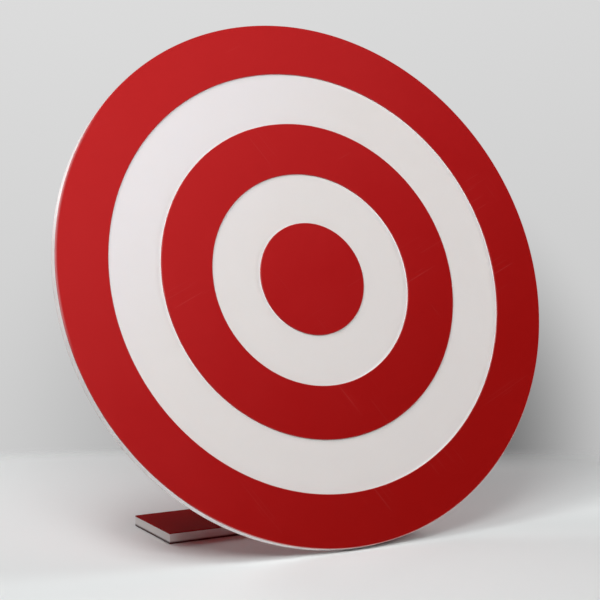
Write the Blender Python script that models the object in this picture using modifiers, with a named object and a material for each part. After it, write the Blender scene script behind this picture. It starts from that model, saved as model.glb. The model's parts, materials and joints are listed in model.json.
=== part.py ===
"""Driving range target.

A round bullseye board leans back on a folding rear leg that stands on a cross foot. The board, the
leg and the foot are cut from one kind of sheet: a white core between two red skins. The white rings
are routed through the front skin into the core. Metres, +Z up, the face of the board towards -Y.
"""

import math

import bmesh
import bpy
from mathutils import Matrix, Vector

OBJECT_NAME = "driving_range_target"

# The sheet
SHEET = 0.019
SKIN = 0.002
ROUTE_INTO_CORE = 0.001
EDGE_CHAMFER = 0.0008

# The board's rings, from the middle out, and how far the board leans back
BULL_RADIUS = 0.0984
INNER_WHITE_WIDTH = 0.0866
MIDDLE_RED_WIDTH = 0.0915
OUTER_WHITE_WIDTH = 0.0904
OUTER_RED_WIDTH = 0.0903
LEAN_DEGREES = 20.0

# The leg, its pivot and the bevel at its top that stops it against the board
LEG_WIDTH = 0.152
PIVOT_ABOVE_CENTRE = 0.016
FOLD_GAP = 0.0095
STOP_RISE = 0.030

# The cross foot
FOOT_LENGTH = 0.510
FOOT_DEPTH = 0.146

# The angle brackets that carry the pivot
BRACKET_METAL = 0.003
BRACKET_LENGTH = 0.064
FLANGE_WIDTH = 0.036
BEND_RADIUS = 0.003
EAR_BEYOND_PIVOT = 0.014
EAR_CORNER = 0.011
FLANGE_CORNER = 0.004
BRACKET_SCREW_PITCH = 0.022

# The pivot screws and their washers
PIVOT_SHOULDER_RADIUS = 0.004
PIVOT_SHANK_RADIUS = 0.003
PIVOT_SHANK_LENGTH = 0.038
PIVOT_HEAD_RADIUS = 0.0065
PIVOT_HEAD_HEIGHT = 0.0045
PIVOT_SOCKET_ACROSS = 0.005
PIVOT_SOCKET_DEPTH = 0.0025
WASHER_RADIUS = 0.0085
WASHER_THICKNESS = 0.0012

# The butt hinges between the leg and the foot
HINGE_LENGTH = 0.050
HINGE_EDGE_MARGIN = 0.008
LEAF_WIDTH = 0.025
LEAF_METAL = 0.002
KNUCKLE_RADIUS = 0.0035
KNUCKLE_COUNT = 5
LEAF_CURL_START = 0.0008
PIN_RADIUS = 0.002
PIN_HEAD_RADIUS = 0.003
PIN_HEAD_HEIGHT = 0.0012
LEAF_SCREW_INSET = 0.008
LEAF_SCREW_STAGGER = 0.005

# The wood screws of the brackets and the hinges
SCREW_SHANK_RADIUS = 0.0021
SCREW_TIP_LENGTH = 0.004
SCREW_COVER = 0.004
FLAT_HEAD_RADIUS = 0.004
PAN_HEAD_RADIUS = 0.0045
PAN_HEAD_HEIGHT = 0.0028
RECESS_ACROSS = 0.0042
RECESS_WIDTH = 0.0009
RECESS_DEPTH = 0.0011

# Clearances
BOND_GAP = 0.0003
SEAT_GAP = 0.0003
HOLE_CLEARANCE = 0.0003
KNUCKLE_CLEARANCE = 0.0005
KNUCKLE_END_GAP = 0.0006

# How finely round shapes are cut
RING_SEGMENTS = 80
SMALL_SEGMENTS = 12
KNUCKLE_SEGMENTS = 10
BEND_SEGMENTS = 4
FLANGE_CORNER_SEGMENTS = 2
SHARP_ANGLE = math.radians(35.0)
MERGE_DISTANCE = 0.00001

# Sizes that follow from the ones above
LEAN = math.radians(LEAN_DEGREES)
INNER_WHITE_RADIUS = BULL_RADIUS + INNER_WHITE_WIDTH
MIDDLE_RED_RADIUS = INNER_WHITE_RADIUS + MIDDLE_RED_WIDTH
OUTER_WHITE_RADIUS = MIDDLE_RED_RADIUS + OUTER_WHITE_WIDTH
BOARD_RADIUS = OUTER_WHITE_RADIUS + OUTER_RED_WIDTH
SKIN_UNDERSIDE = SHEET - SKIN
CORE_LOW = SKIN + BOND_GAP
CORE_HIGH = SKIN_UNDERSIDE - BOND_GAP
ROUTE_FLOOR = SKIN_UNDERSIDE - ROUTE_INTO_CORE
SCREW_BITE = ROUTE_FLOOR - SCREW_COVER

# Places in the side view: y backwards from the line where the plane of the board's back meets the floor
CENTRE_UP_THE_BACK = BOARD_RADIUS - EDGE_CHAMFER * math.tan(LEAN)
PIVOT_UP_THE_BACK = CENTRE_UP_THE_BACK + PIVOT_ABOVE_CENTRE
PIVOT_OFF_THE_BACK = SHEET / 2 + FOLD_GAP
PIVOT_Y = PIVOT_UP_THE_BACK * math.sin(LEAN) + PIVOT_OFF_THE_BACK * math.cos(LEAN)
PIVOT_Z = PIVOT_UP_THE_BACK * math.cos(LEAN) - PIVOT_OFF_THE_BACK * math.sin(LEAN)
LEG_FRONT = PIVOT_Y - SHEET / 2
LEG_REAR = PIVOT_Y + SHEET / 2
LEG_BOTTOM = SHEET + SEAT_GAP
LEG_TOP = LEG_FRONT / math.tan(LEAN) + STOP_RISE
AXIS_OFF_BOARD = KNUCKLE_RADIUS + KNUCKLE_CLEARANCE
HINGE_Y = LEG_REAR + AXIS_OFF_BOARD
HINGE_Z = SHEET + AXIS_OFF_BOARD
HINGE_X = LEG_WIDTH / 2 - HINGE_EDGE_MARGIN - HINGE_LENGTH / 2
FOOT_REAR = LEG_FRONT + FOOT_DEPTH
BOARD_FRONT_EDGE = (EDGE_CHAMFER - EDGE_CHAMFER * math.tan(LEAN)) * math.sin(LEAN) - SHEET * math.cos(LEAN)
BOARD_TOP_EDGE = (CENTRE_UP_THE_BACK + BOARD_RADIUS - EDGE_CHAMFER) * math.sin(LEAN)
MIDDLE_Y = (BOARD_FRONT_EDGE + max(FOOT_REAR, BOARD_TOP_EDGE)) / 2

# Sideways places, out from the middle plane
WASHER_INNER = LEG_WIDTH / 2 + SEAT_GAP
EAR_INNER = WASHER_INNER + WASHER_THICKNESS + SEAT_GAP
PIVOT_HEAD_SEAT = EAR_INNER + BRACKET_METAL + SEAT_GAP
BRACKET_SCREW_X = EAR_INNER + (BEND_RADIUS + BRACKET_METAL + FLANGE_WIDTH) / 2
BRACKET_TOP = SEAT_GAP + BRACKET_METAL
LEAF_UNDERSIDE = SEAT_GAP - AXIS_OFF_BOARD
LEAF_TOP = LEAF_UNDERSIDE + LEAF_METAL
LEAF_SCREW_PITCH = HINGE_LENGTH / 2 - LEAF_SCREW_INSET
LEAF_SCREW_Y = (KNUCKLE_RADIUS + LEAF_WIDTH) / 2
KNUCKLE_PITCH = HINGE_LENGTH / KNUCKLE_COUNT
SCREW_HOLE_RADIUS = SCREW_SHANK_RADIUS + HOLE_CLEARANCE

SIDES = {"left": math.pi, "right": 0.0}

# Turns the page that an outline is drawn on, X to Y and Y to Z, and its depth to X
PAGE_TO_YZ = Matrix(((0.0, 0.0, 1.0, 0.0), (1.0, 0.0, 0.0, 0.0), (0.0, 1.0, 0.0, 0.0), (0.0, 0.0, 0.0, 1.0)))

# Colour, roughness and metallic value of each finish
FINISHES = {
    "red_plastic": ((0.46, 0.012, 0.014), 0.35, 0.0),
    "white_plastic": ((0.78, 0.76, 0.74), 0.45, 0.0),
    "stainless_steel": ((0.56, 0.56, 0.57), 0.30, 1.0),
    "nylon": ((0.72, 0.71, 0.67), 0.50, 0.0),
}


def clear_scene():
    """Removes every object of the scene."""
    for obj in list(bpy.data.objects):
        bpy.data.objects.remove(obj, do_unlink=True)


def collection_named(name):
    """A new collection of the scene."""
    collection = bpy.data.collections.new(name)
    bpy.context.scene.collection.children.link(collection)
    return collection


def finish_material(node, finish):
    """A material of its own for one node."""
    colour, roughness, metallic = FINISHES[finish]
    material = bpy.data.materials.new(f"{node}_{finish}")
    material.use_nodes = True
    shader = material.node_tree.nodes["Principled BSDF"]
    shader.inputs["Base Color"].default_value = (*colour, 1.0)
    shader.inputs["Roughness"].default_value = roughness
    shader.inputs["Metallic"].default_value = metallic
    material.diffuse_color = (*colour, 1.0)
    return material


def frame_at(name, location, parent=None, rotation=(0.0, 0.0, 0.0)):
    """An empty that pieces hang on."""
    empty = bpy.data.objects.new(name, None)
    empty.empty_display_size = 0.03
    empty.location = location
    empty.rotation_euler = rotation
    empty.parent = parent
    PARTS.objects.link(empty)
    return empty


def placed(name, mesh, collection, parent, location=(0.0, 0.0, 0.0), rotation=(0.0, 0.0, 0.0)):
    """An object with this mesh, hung on its frame."""
    obj = bpy.data.objects.new(name, mesh)
    obj.location = location
    obj.rotation_euler = rotation
    obj.parent = parent
    collection.objects.link(obj)
    return obj


def piece(name, mesh, finish, parent, location=(0.0, 0.0, 0.0), rotation=(0.0, 0.0, 0.0)):
    """A node of the object, with its own material in the object's own slot."""
    if not mesh.materials:
        mesh.materials.append(None)
    obj = placed(name, mesh, PARTS, parent, location, rotation)
    obj.material_slots[0].link = "OBJECT"
    obj.material_slots[0].material = finish_material(name, finish)
    return obj


def helper(name, mesh, parent, location=(0.0, 0.0, 0.0), rotation=(0.0, 0.0, 0.0)):
    """A cutter or a body to be joined, which is no node itself."""
    obj = placed(name, mesh, CUTTERS, parent, location, rotation)
    obj.hide_render = True
    obj.display_type = "WIRE"
    return obj


def boolean(target, operation, other):
    """Cuts the other object from the target, or joins it to it."""
    modifier = target.modifiers.new(f"{operation.lower()} {other.name}", "BOOLEAN")
    modifier.operation = operation
    modifier.solver = "EXACT"
    modifier.object = other


def mesh_from(name, bm):
    """A mesh of this bmesh, smooth between its sharp edges."""
    mesh = bpy.data.meshes.new(name)
    bm.to_mesh(mesh)
    bm.free()
    mesh.shade_smooth()
    mesh.set_sharp_from_angle(angle=SHARP_ANGLE)
    return mesh


def settled(name, obj, helpers=()):
    """The object's mesh with its modifiers applied; the object and its helpers are removed."""
    bpy.context.view_layer.update()
    graph = bpy.context.evaluated_depsgraph_get()
    mesh = bpy.data.meshes.new_from_object(obj.evaluated_get(graph))
    mesh.name = name
    mesh.shade_smooth()
    mesh.set_sharp_from_angle(angle=SHARP_ANGLE)
    for done in (obj, *helpers):
        bpy.data.objects.remove(done, do_unlink=True)
    return mesh


def slab_mesh(name, low, high, chamfered_side=0):
    """A box between two corners; the edges round its top (1) or its underside (-1) can be chamfered."""
    low = Vector(low)
    high = Vector(high)
    bm = bmesh.new()
    size = Matrix.Diagonal((*(high - low), 1.0))
    bmesh.ops.create_cube(bm, size=1.0, matrix=Matrix.Translation((low + high) / 2) @ size)
    if chamfered_side:
        level = high.z if chamfered_side > 0 else low.z
        at_level = {vert for vert in bm.verts if abs(vert.co.z - level) < MERGE_DISTANCE}
        rim = [edge for edge in bm.edges if at_level.issuperset(edge.verts)]
        bmesh.ops.bevel(bm, geom=rim, offset=EDGE_CHAMFER, segments=1, affect="EDGES")
    return mesh_from(name, bm)


def turned_mesh(name, outline, segments, closed=False):
    """A turned shape about Z. The outline is (radius, height) points that run down its outer side.

    The flats of the polygon lie on the true circle, and two of them face along each of X and Y.
    """
    half_step = math.pi / segments
    turn = Matrix.Rotation(half_step, 4, "Z")
    bm = bmesh.new()
    points = [
        bm.verts.new(turn @ Vector((radius / math.cos(half_step), 0.0, height))) for radius, height in outline
    ]
    ends = points[1:] + points[:1] if closed else points[1:]
    for start, end in zip(points, ends):
        bm.edges.new((start, end))
    profile = bpy.data.meshes.new(name)
    bm.to_mesh(profile)
    bm.free()
    obj = placed(name, profile, CUTTERS, None)
    screw = obj.modifiers.new("turn", "SCREW")
    screw.steps = segments
    screw.render_steps = segments
    screw.use_merge_vertices = True
    screw.merge_threshold = MERGE_DISTANCE
    return settled(name, obj)


def drills_mesh(name, places, radius, low, high, segments=SMALL_SEGMENTS):
    """One cutter with a round drill at each (x, y) place, along Z from low to high."""
    bm = bmesh.new()
    half_step = math.pi / segments
    corner = radius / math.cos(half_step)
    shape = {"segments": segments, "radius1": corner, "radius2": corner, "depth": high - low}
    for x, y in places:
        middle = Matrix.Translation((x, y, (low + high) / 2)) @ Matrix.Rotation(half_step, 4, "Z")
        bmesh.ops.create_cone(bm, cap_ends=True, matrix=middle, **shape)
    return mesh_from(name, bm)


def ring_skin(name, inner, outer, parent):
    """A ring left of the board's front skin, chamfered along both its upper edges."""
    outline = [
        (outer - EDGE_CHAMFER, SHEET),
        (outer, SHEET - EDGE_CHAMFER),
        (outer, SKIN_UNDERSIDE),
        (inner, SKIN_UNDERSIDE),
        (inner, SHEET - EDGE_CHAMFER),
        (inner + EDGE_CHAMFER, SHEET),
    ]
    mesh = turned_mesh(name, outline, RING_SEGMENTS, closed=True)
    return piece(name, mesh, "red_plastic", parent)


def build_board(board):
    """The round board: core, rear skin and the three pieces of the front skin."""
    core_outline = [
        (0.0, CORE_HIGH),
        (BULL_RADIUS, CORE_HIGH),
        (BULL_RADIUS, ROUTE_FLOOR),
        (INNER_WHITE_RADIUS, ROUTE_FLOOR),
        (INNER_WHITE_RADIUS, CORE_HIGH),
        (MIDDLE_RED_RADIUS, CORE_HIGH),
        (MIDDLE_RED_RADIUS, ROUTE_FLOOR),
        (OUTER_WHITE_RADIUS, ROUTE_FLOOR),
        (OUTER_WHITE_RADIUS, CORE_HIGH),
        (BOARD_RADIUS, CORE_HIGH),
        (BOARD_RADIUS, CORE_LOW),
        (0.0, CORE_LOW),
    ]
    rear_outline = [
        (0.0, SKIN),
        (BOARD_RADIUS, SKIN),
        (BOARD_RADIUS, EDGE_CHAMFER),
        (BOARD_RADIUS - EDGE_CHAMFER, 0.0),
        (0.0, 0.0),
    ]
    bull_outline = [
        (0.0, SHEET),
        (BULL_RADIUS - EDGE_CHAMFER, SHEET),
        (BULL_RADIUS, SHEET - EDGE_CHAMFER),
        (BULL_RADIUS, SKIN_UNDERSIDE),
        (0.0, SKIN_UNDERSIDE),
    ]
    core = piece("board_core", turned_mesh("board_core", core_outline, RING_SEGMENTS), "white_plastic", board)
    rear = piece(
        "board_rear_skin", turned_mesh("board_rear_skin", rear_outline, RING_SEGMENTS), "red_plastic", board
    )
    piece("bull_skin", turned_mesh("bull_skin", bull_outline, RING_SEGMENTS), "red_plastic", board)
    ring_skin("middle_ring_skin", INNER_WHITE_RADIUS, MIDDLE_RED_RADIUS, board)
    ring_skin("outer_ring_skin", OUTER_WHITE_RADIUS, BOARD_RADIUS, board)
    return core, rear


def build_layers(prefix, names, low, high, frame):
    """The bottom skin, the core and the top skin of a straight board, stacked along Z from 0."""
    under_name, top_name = names
    (low_x, low_y), (high_x, high_y) = low, high
    under = slab_mesh(under_name, (low_x, low_y, 0.0), (high_x, high_y, SKIN), chamfered_side=-1)
    core = slab_mesh(f"{prefix}_core", (low_x, low_y, CORE_LOW), (high_x, high_y, CORE_HIGH))
    top = slab_mesh(top_name, (low_x, low_y, SKIN_UNDERSIDE), (high_x, high_y, SHEET), chamfered_side=1)
    return (
        piece(under_name, under, "red_plastic", frame),
        piece(f"{prefix}_core", core, "white_plastic", frame),
        piece(top_name, top, "red_plastic", frame),
    )


def build_leg(board, leg):
    """The leg's three layers, bevelled at the top where the leg bears on the board's back."""
    plank = frame_at("leg_plank", (0.0, SHEET / 2, 0.0), leg, (math.pi / 2, 0.0, 0.0))
    low = (-LEG_WIDTH / 2, LEG_BOTTOM - PIVOT_Z)
    high = (LEG_WIDTH / 2, LEG_TOP - PIVOT_Z)
    rear, core, front = build_layers("leg", ("leg_rear_skin", "leg_front_skin"), low, high, plank)
    stop_high = 2 * (LEG_TOP - PIVOT_Z)
    stop_mesh = slab_mesh("stop_plane", (-LEG_WIDTH, 0.0, -SEAT_GAP), (LEG_WIDTH, stop_high, 2 * SHEET))
    stop = helper("stop_plane", stop_mesh, board, (0.0, PIVOT_ABOVE_CENTRE, 0.0))
    bore_radius = PIVOT_SHANK_RADIUS + HOLE_CLEARANCE
    bore_floor = WASHER_INNER - PIVOT_SHANK_LENGTH - SEAT_GAP
    bore_mesh = drills_mesh("pivot_bore", [(0.0, 0.0)], bore_radius, bore_floor, LEG_WIDTH)
    for layer in (core, front):
        boolean(layer, "DIFFERENCE", stop)
    for side, turn in SIDES.items():
        side_frame = frame_at(f"{side}_pivot", (0.0, 0.0, 0.0), leg, (0.0, 0.0, turn))
        bore = helper(f"{side}_pivot_bore", bore_mesh, side_frame, rotation=(0.0, math.pi / 2, 0.0))
        boolean(core, "DIFFERENCE", bore)
        build_pivot(side, side_frame)
    return core, rear


def build_pivot(side, side_frame):
    """A pivot screw with its head outwards, and the washer between the leg and the bracket's ear."""
    along_x = (0.0, math.pi / 2, 0.0)
    shoulder_end = WASHER_INNER
    head_top = PIVOT_HEAD_SEAT + PIVOT_HEAD_HEIGHT
    tip = shoulder_end - PIVOT_SHANK_LENGTH
    outline = [
        (0.0, head_top),
        (PIVOT_HEAD_RADIUS - EDGE_CHAMFER, head_top),
        (PIVOT_HEAD_RADIUS, head_top - EDGE_CHAMFER),
        (PIVOT_HEAD_RADIUS, PIVOT_HEAD_SEAT),
        (PIVOT_SHOULDER_RADIUS, PIVOT_HEAD_SEAT),
        (PIVOT_SHOULDER_RADIUS, shoulder_end),
        (PIVOT_SHANK_RADIUS, shoulder_end),
        (PIVOT_SHANK_RADIUS, tip + SCREW_TIP_LENGTH),
        (0.0, tip),
    ]
    blank = placed("pivot_blank", turned_mesh("pivot_blank", outline, SMALL_SEGMENTS), CUTTERS, None)
    floor = head_top - PIVOT_SOCKET_DEPTH
    above = head_top + EDGE_CHAMFER
    socket_mesh = drills_mesh("pivot_socket", [(0.0, 0.0)], PIVOT_SOCKET_ACROSS / 2, floor, above, segments=6)
    socket = helper("pivot_socket", socket_mesh, None)
    boolean(blank, "DIFFERENCE", socket)
    screw_mesh = settled("pivot_screw", blank, [socket])
    piece(f"{side}_pivot_screw", screw_mesh, "stainless_steel", side_frame, rotation=along_x)
    washer_bore = PIVOT_SHOULDER_RADIUS + HOLE_CLEARANCE
    washer_outline = [
        (WASHER_RADIUS, WASHER_INNER + WASHER_THICKNESS),
        (WASHER_RADIUS, WASHER_INNER),
        (washer_bore, WASHER_INNER),
        (washer_bore, WASHER_INNER + WASHER_THICKNESS),
    ]
    washer_mesh = turned_mesh("pivot_washer", washer_outline, SMALL_SEGMENTS, closed=True)
    piece(f"{side}_pivot_washer", washer_mesh, "nylon", side_frame, rotation=along_x)


def round_corners(bm, corners, radius, segments):
    """Rounds these corners of a flat sheet."""
    bmesh.ops.bevel(bm, geom=corners, offset=radius, segments=segments, profile=0.5, affect="VERTICES")


def bracket_mesh():
    """An angle bracket for the right side, pressed from sheet: a flange on the back and an ear off it."""
    bm = bmesh.new()
    ear_edge_z = -(PIVOT_OFF_THE_BACK + EAR_BEYOND_PIVOT)
    flange_middle = Matrix.Translation((EAR_INNER + FLANGE_WIDTH / 2, 0.0, -SEAT_GAP))
    flange_size = Matrix.Diagonal((FLANGE_WIDTH, BRACKET_LENGTH, 1.0, 1.0))
    bmesh.ops.create_grid(bm, x_segments=1, y_segments=1, size=0.5, matrix=flange_middle @ flange_size)
    fold = [edge for edge in bm.edges if all(vert.co.x < EAR_INNER + MERGE_DISTANCE for vert in edge.verts)]
    raised = bmesh.ops.extrude_edge_only(bm, edges=fold)["geom"]
    ear_corners = [item for item in raised if isinstance(item, bmesh.types.BMVert)]
    for vert in ear_corners:
        vert.co.z = ear_edge_z
    round_corners(bm, ear_corners, EAR_CORNER, BEND_SEGMENTS)
    outer_edge = EAR_INNER + FLANGE_WIDTH - MERGE_DISTANCE
    flange_corners = [vert for vert in bm.verts if vert.co.x > outer_edge]
    round_corners(bm, flange_corners, FLANGE_CORNER, FLANGE_CORNER_SEGMENTS)
    blank = placed("bracket_blank", mesh_from("bracket_blank", bm), CUTTERS, None)
    bend = blank.modifiers.new("bend", "BEVEL")
    bend.width = BEND_RADIUS + BRACKET_METAL
    bend.segments = BEND_SEGMENTS
    thicken = blank.modifiers.new("metal", "SOLIDIFY")
    thicken.thickness = BRACKET_METAL
    thicken.use_even_offset = True
    reach = 2 * BRACKET_TOP
    screw_drill_mesh = drills_mesh("flange_drills", bracket_screw_places(), SCREW_HOLE_RADIUS, -reach, reach)
    screw_drills = helper("flange_drills", screw_drill_mesh, None)
    bore_radius = PIVOT_SHOULDER_RADIUS + HOLE_CLEARANCE
    pivot_drill_mesh = drills_mesh("ear_drill", [(0.0, 0.0)], bore_radius, LEG_WIDTH / 2, PIVOT_HEAD_SEAT)
    pivot_place = (0.0, 0.0, -PIVOT_OFF_THE_BACK)
    pivot_drill = helper("ear_drill", pivot_drill_mesh, None, pivot_place, (0.0, math.pi / 2, 0.0))
    for drill in (screw_drills, pivot_drill):
        boolean(blank, "DIFFERENCE", drill)
    return settled("angle_bracket", blank, [screw_drills, pivot_drill])


def bracket_screw_places():
    """Where the bracket's screws go, beside its ear and along its length."""
    return [(BRACKET_SCREW_X, step * BRACKET_SCREW_PITCH) for step in (-1, 0, 1)]


def wood_screw_mesh(name, head_outline, seat, length):
    """A wood screw with a cross recess, its head up, its tip at the length below the seat."""
    shank_end = seat - length
    outline = [
        *head_outline,
        (SCREW_SHANK_RADIUS, shank_end + SCREW_TIP_LENGTH),
        (0.0, shank_end),
    ]
    blank = placed(f"{name}_blank", turned_mesh(f"{name}_blank", outline, SMALL_SEGMENTS), CUTTERS, None)
    head_top = head_outline[0][1]
    half_long = RECESS_ACROSS / 2
    half_wide = RECESS_WIDTH / 2
    floor = head_top - RECESS_DEPTH
    above = head_top + RECESS_DEPTH
    slots = []
    for half_x, half_y in ((half_long, half_wide), (half_wide, half_long)):
        slot_mesh = slab_mesh(f"{name}_slot", (-half_x, -half_y, floor), (half_x, half_y, above))
        slots.append(helper(f"{name}_slot", slot_mesh, None))
        boolean(blank, "DIFFERENCE", slots[-1])
    return settled(name, blank, slots)


def build_brackets(board, core, rear):
    """The two brackets on the board's back, their screws and the holes that these need in the board."""
    bracket = bracket_mesh()
    head_top = PAN_HEAD_HEIGHT
    pan_head = [
        (0.0, head_top),
        (PAN_HEAD_RADIUS * 0.6, head_top),
        (PAN_HEAD_RADIUS, head_top * 0.45),
        (PAN_HEAD_RADIUS, 0.0),
        (SCREW_SHANK_RADIUS, 0.0),
    ]
    screw = wood_screw_mesh("pan_head_screw", pan_head, 0.0, BRACKET_TOP + SEAT_GAP + SCREW_BITE)
    hole_end = SCREW_BITE + SEAT_GAP
    hole_mesh = drills_mesh("bracket_holes", bracket_screw_places(), SCREW_HOLE_RADIUS, -SHEET, hole_end)
    head_seat = -(BRACKET_TOP + SEAT_GAP)
    for side, turn in SIDES.items():
        side_frame = frame_at(f"{side}_bracket_seat", (0.0, PIVOT_ABOVE_CENTRE, 0.0), board, (0.0, 0.0, turn))
        piece(f"{side}_pivot_bracket", bracket, "stainless_steel", side_frame)
        for number, (x, y) in enumerate(bracket_screw_places(), start=1):
            name = f"{side}_bracket_screw_{number}"
            piece(name, screw, "stainless_steel", side_frame, (x, y, head_seat), (math.pi, 0.0, 0.0))
        holes = helper(f"{side}_bracket_holes", hole_mesh, side_frame)
        for layer in (core, rear):
            boolean(layer, "DIFFERENCE", holes)


def leaf_screw_places():
    """Where a leaf's screws go, the middle one staggered outwards."""
    row = LEAF_SCREW_Y - LEAF_SCREW_STAGGER / 2
    return [(step * LEAF_SCREW_PITCH, row + LEAF_SCREW_STAGGER * (1 - abs(step))) for step in (-1, 0, 1)]


def leaf_outline():
    """A leaf's section in (y, z): its plate flat under the axis, rolled up into the knuckle."""
    first = math.asin(LEAF_TOP / KNUCKLE_RADIUS)
    last = math.pi + math.acos(LEAF_CURL_START / KNUCKLE_RADIUS)
    step = (last - first) / KNUCKLE_SEGMENTS
    angles = [first + step * number for number in range(KNUCKLE_SEGMENTS + 1)]
    roll = [(KNUCKLE_RADIUS * math.cos(angle), KNUCKLE_RADIUS * math.sin(angle)) for angle in angles]
    return [(LEAF_WIDTH, LEAF_UNDERSIDE), (LEAF_WIDTH, LEAF_TOP), *roll, (0.0, LEAF_UNDERSIDE)]


def drawn_mesh(name, outline, width):
    """A (y, z) outline drawn out along X, half its width to each side."""
    curve = bpy.data.curves.new(name, "CURVE")
    curve.dimensions = "2D"
    curve.fill_mode = "BOTH"
    curve.extrude = width / 2
    spline = curve.splines.new("POLY")
    spline.points.add(len(outline) - 1)
    for point, (y, z) in zip(spline.points, outline):
        point.co = (y, z, 0.0, 1.0)
    spline.use_cyclic_u = True
    bm = bmesh.new()
    bm.from_mesh(settled(name, placed(name, curve, CUTTERS, None)))
    bmesh.ops.remove_doubles(bm, verts=bm.verts, dist=MERGE_DISTANCE)
    bmesh.ops.transform(bm, matrix=PAGE_TO_YZ, verts=bm.verts)
    return mesh_from(name, bm)


def leaf_mesh(name, other_knuckles):
    """A hinge leaf along +Y from its axis, cut away for the other leaf's knuckles at these places."""
    blank = placed(f"{name}_blank", drawn_mesh(f"{name}_blank", leaf_outline(), HINGE_LENGTH), CUTTERS, None)
    half_gap = (KNUCKLE_PITCH + KNUCKLE_END_GAP) / 2
    plate_start = KNUCKLE_RADIUS + KNUCKLE_CLEARANCE
    cutters = []
    for place in other_knuckles:
        middle = (place - (KNUCKLE_COUNT - 1) / 2) * KNUCKLE_PITCH
        gap_low = (middle - half_gap, -2 * plate_start, -2 * plate_start)
        gap_high = (middle + half_gap, plate_start, 2 * plate_start)
        cutters.append(helper(f"{name}_gap", slab_mesh(f"{name}_gap", gap_low, gap_high), None))
    bore_radius = PIN_RADIUS + HOLE_CLEARANCE
    bore_mesh = drills_mesh(f"{name}_bore", [(0.0, 0.0)], bore_radius, -HINGE_LENGTH, HINGE_LENGTH)
    cutters.append(helper(f"{name}_bore", bore_mesh, None, rotation=(0.0, math.pi / 2, 0.0)))
    sink_radius = FLAT_HEAD_RADIUS + HOLE_CLEARANCE
    sink_outline = [
        (0.0, LEAF_METAL),
        (sink_radius, LEAF_METAL),
        (sink_radius, 0.0),
        (SCREW_HOLE_RADIUS, SCREW_HOLE_RADIUS - sink_radius),
        (SCREW_HOLE_RADIUS, -2 * LEAF_METAL),
        (0.0, -2 * LEAF_METAL),
    ]
    sink_mesh = turned_mesh(f"{name}_sink", sink_outline, SMALL_SEGMENTS)
    for x, y in leaf_screw_places():
        cutters.append(helper(f"{name}_sink", sink_mesh, None, (x, y, LEAF_TOP)))
    for cutter in cutters:
        boolean(blank, "DIFFERENCE", cutter)
    return settled(name, blank, cutters)


def pin_mesh():
    """A hinge pin along Z with a flat head at each end."""
    half_length = HINGE_LENGTH / 2 + SEAT_GAP
    end = half_length + PIN_HEAD_HEIGHT
    outline = [
        (0.0, end),
        (PIN_HEAD_RADIUS, end),
        (PIN_HEAD_RADIUS, half_length),
        (PIN_RADIUS, half_length),
        (PIN_RADIUS, -half_length),
        (PIN_HEAD_RADIUS, -half_length),
        (PIN_HEAD_RADIUS, -end),
        (0.0, -end),
    ]
    return turned_mesh("hinge_pin", outline, SMALL_SEGMENTS)


def build_hinges(hinge_axis, leg_layers, foot_layers):
    """The two butt hinges: a leaf on the back of the leg, a leaf on top of the foot, a pin and screws."""
    leg_leaf = leaf_mesh("leg_leaf", range(1, KNUCKLE_COUNT, 2))
    foot_leaf = leaf_mesh("foot_leaf", range(0, KNUCKLE_COUNT, 2))
    pin = pin_mesh()
    head_depth = FLAT_HEAD_RADIUS - SCREW_SHANK_RADIUS
    flat_head = [(0.0, 0.0), (FLAT_HEAD_RADIUS, 0.0), (SCREW_SHANK_RADIUS, -head_depth)]
    screw = wood_screw_mesh("flat_head_screw", flat_head, 0.0, LEAF_METAL + SEAT_GAP + SCREW_BITE)
    hole_low = LEAF_UNDERSIDE - SCREW_BITE - 2 * SEAT_GAP
    hole_mesh = drills_mesh("leaf_holes", leaf_screw_places(), SCREW_HOLE_RADIUS, hole_low, LEAF_TOP)
    onto_leg = Matrix(((-1.0, 0.0, 0.0), (0.0, 0.0, 1.0), (0.0, 1.0, 0.0))).to_euler()
    for side, sign in (("left", -1.0), ("right", 1.0)):
        middle = (sign * HINGE_X, 0.0, 0.0)
        piece(f"{side}_hinge_pin", pin, "stainless_steel", hinge_axis, middle, (0.0, math.pi / 2, 0.0))
        for board_name, leaf, turn, layers in (
            ("leg", leg_leaf, onto_leg, leg_layers),
            ("foot", foot_leaf, (0.0, 0.0, 0.0), foot_layers),
        ):
            leaf_frame = frame_at(f"{side}_{board_name}_leaf_seat", middle, hinge_axis, turn)
            piece(f"{side}_hinge_{board_name}_leaf", leaf, "stainless_steel", leaf_frame)
            for number, (x, y) in enumerate(leaf_screw_places(), start=1):
                name = f"{side}_{board_name}_leaf_screw_{number}"
                piece(name, screw, "stainless_steel", leaf_frame, (x, y, LEAF_TOP))
            holes = helper(f"{side}_{board_name}_leaf_holes", hole_mesh, leaf_frame)
            for layer in layers:
                boolean(layer, "DIFFERENCE", holes)


def build_foot(foot):
    """The cross foot's three layers, flat on the floor with the leg on its front edge."""
    low = (-FOOT_LENGTH / 2, 0.0)
    high = (FOOT_LENGTH / 2, FOOT_DEPTH)
    plank = frame_at("foot_plank", (0.0, LEG_FRONT - HINGE_Y, -HINGE_Z), foot)
    _, core, top = build_layers("foot", ("foot_bottom_skin", "foot_top_skin"), low, high, plank)
    return core, top


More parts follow.
